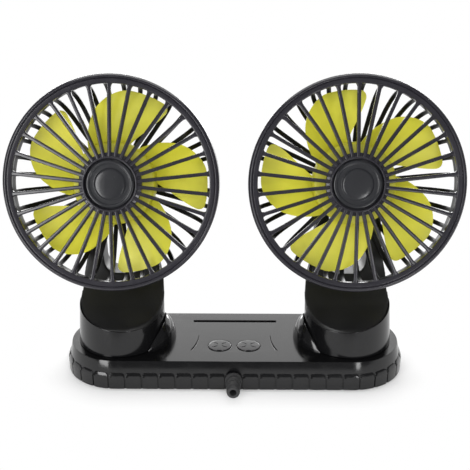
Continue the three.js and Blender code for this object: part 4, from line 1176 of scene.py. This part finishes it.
def floor_white():
    """Pale near the object, where it takes its shadow, and plain white farther out."""
    material = bpy.data.materials.new("floor_white")
    shader = Shader(material)
    base = shader.tree.nodes["Principled BSDF"]
    base.inputs["Base Color"].default_value = colour(0.9, 0.9, 0.9)
    base.inputs["Roughness"].default_value = 0.9
    base.inputs["Specular IOR Level"].default_value = 0.1
    spot = shader.place()
    across = shader.node("ShaderNodeSeparateXYZ", {}, {0: spot}, "X").math("ABSOLUTE")
    along = shader.node("ShaderNodeSeparateXYZ", {}, {0: spot}, "Y")
    beyond = (across - HALF_PITCH * 0.001).clamped(0.0, 9.0)
    far = (beyond * beyond + along * along).math("SQRT")
    glow = shader.node("ShaderNodeEmission", {}, {"Color": colour(1, 1, 1), "Strength": 1.0})
    values = {0: far.spread(*FLOOR_SHADE), 1: Value(shader, base.outputs[0]), 2: glow}
    blend = shader.node("ShaderNodeMixShader", {}, values)
    shader.feed(shader.tree.nodes["Material Output"].inputs["Surface"], blend)
    return material


def pale_floor():
    """A sheet under the object; its front strip is left out of the reflections."""
    material = floor_white()
    for name, front, back, mirrored in (("floor", -0.125, 0.84, True), ("floor_front", -0.16, -0.125, False)):
        bm = bmesh.new()
        bmesh.ops.create_grid(bm, x_segments=1, y_segments=1, size=0.5)
        bmesh.ops.transform(bm, matrix=Matrix.Translation((0, (front + back) / 2, 0)) @
                            Matrix.Diagonal((FLOOR_WIDTH, back - front, 1, 1)), verts=bm.verts)
        mesh = bpy.data.meshes.new(name)
        bm.to_mesh(mesh)
        bm.free()
        mesh.materials.append(material)
        made = bpy.data.objects.new(name, mesh)
        made.visible_glossy = mirrored
        bpy.context.scene.collection.objects.link(made)


def soft_light(name, place, aim, width, height, watts, mirrored=True):
    """A rectangular light; one that isn't mirrored brightens without showing in glossy surfaces."""
    data = bpy.data.lights.new(name, "AREA")
    data.shape = "RECTANGLE"
    data.size, data.size_y = width, height
    data.energy = watts
    made = bpy.data.objects.new(name, data)
    made.location = place
    made.rotation_euler = (Vector(aim) - Vector(place)).to_track_quat("-Z", "Y").to_euler()
    made.visible_camera = False
    made.visible_glossy = mirrored
    bpy.context.scene.collection.objects.link(made)


def white_room():
    """White where the camera sees past the object, and a dimmer room for the object itself."""
    world = bpy.data.worlds.new("white_room")
    bpy.context.scene.world = world
    shader = Shader(world)
    seen = shader.node("ShaderNodeLightPath", output="Is Camera Ray")
    background = shader.tree.nodes["Background"]
    background.inputs["Color"].default_value = colour(1, 1, 1)
    shader.feed(background.inputs["Strength"], seen * (1 - ROOM_SHADE) + ROOM_SHADE)


def camera():
    data = bpy.data.cameras.new("camera")
    data.lens = CAMERA_LENS
    data.sensor_width = 36.0
    data.clip_start = 0.01
    made = bpy.data.objects.new("camera", data)
    azimuth, elevation, roll = (math.radians(angle) for angle in CAMERA_ANGLES)
    back = Vector((math.sin(azimuth) * math.cos(elevation), -math.cos(azimuth) * math.cos(elevation),
                   math.sin(elevation)))
    made.location = Vector(CAMERA_AIM) + back * CAMERA_DISTANCE
    turn = (-back).to_track_quat("-Z", "Y").to_matrix() @ Matrix.Rotation(roll, 3, "Z")
    made.rotation_euler = turn.to_euler()
    bpy.context.scene.collection.objects.link(made)
    bpy.context.scene.camera = made


def stage():
    pale_floor()
    white_room()
    soft_light("upper light", (0.1, -1.35, 1.0), (0, 0, 0.1), 1.3, 0.9, 14, False)
    soft_light("overhead light", (0.0, 0.35, 1.5), (0, 0, 0.1), 1.8, 0.7, 14)
    soft_light("fill light", (0.6, -1.6, 0.4), (0.03, 0, 0.12), 1.6, 1.1, 15, False)
    soft_light("back light", (0.0, 1.35, 0.75), (0, 0, 0.1), 4.4, 1.0, 24)
    soft_light("low back light", (0.0, 1.5, 0.0), (0, 0, 0.1), 4.4, 0.5, 18)
    for side, word in SIDES:
        soft_light(f"{word} edge light", (side * 0.42, 1.3, 0.28), (0, 0, 0.05), 0.5, 0.3, 4)
    soft_light("front left light", (-0.95, -1.35, 0.25), (-0.05, 0, 0.08), 0.55, 1.3, 20)
    soft_light("front right light", (0.62, -1.6, -0.12), (0.05, 0, 0.02), 0.22, 0.5, 4)
    camera()
    bpy.context.scene.view_settings.view_transform = "Standard"


def all_pieces():
    for part in frame["record"]["subparts"]:
        mesh = frame["nodes"][part["node"]].data
        mesh.materials.clear()
        mesh.materials.append(MATERIALS[part["material_slot"]])
        mesh.shade_smooth()
        mesh.set_sharp_from_angle(angle=math.radians(28))
    base_pieces()
    turret_pieces()
    head_pieces()


all_pieces()
stage()
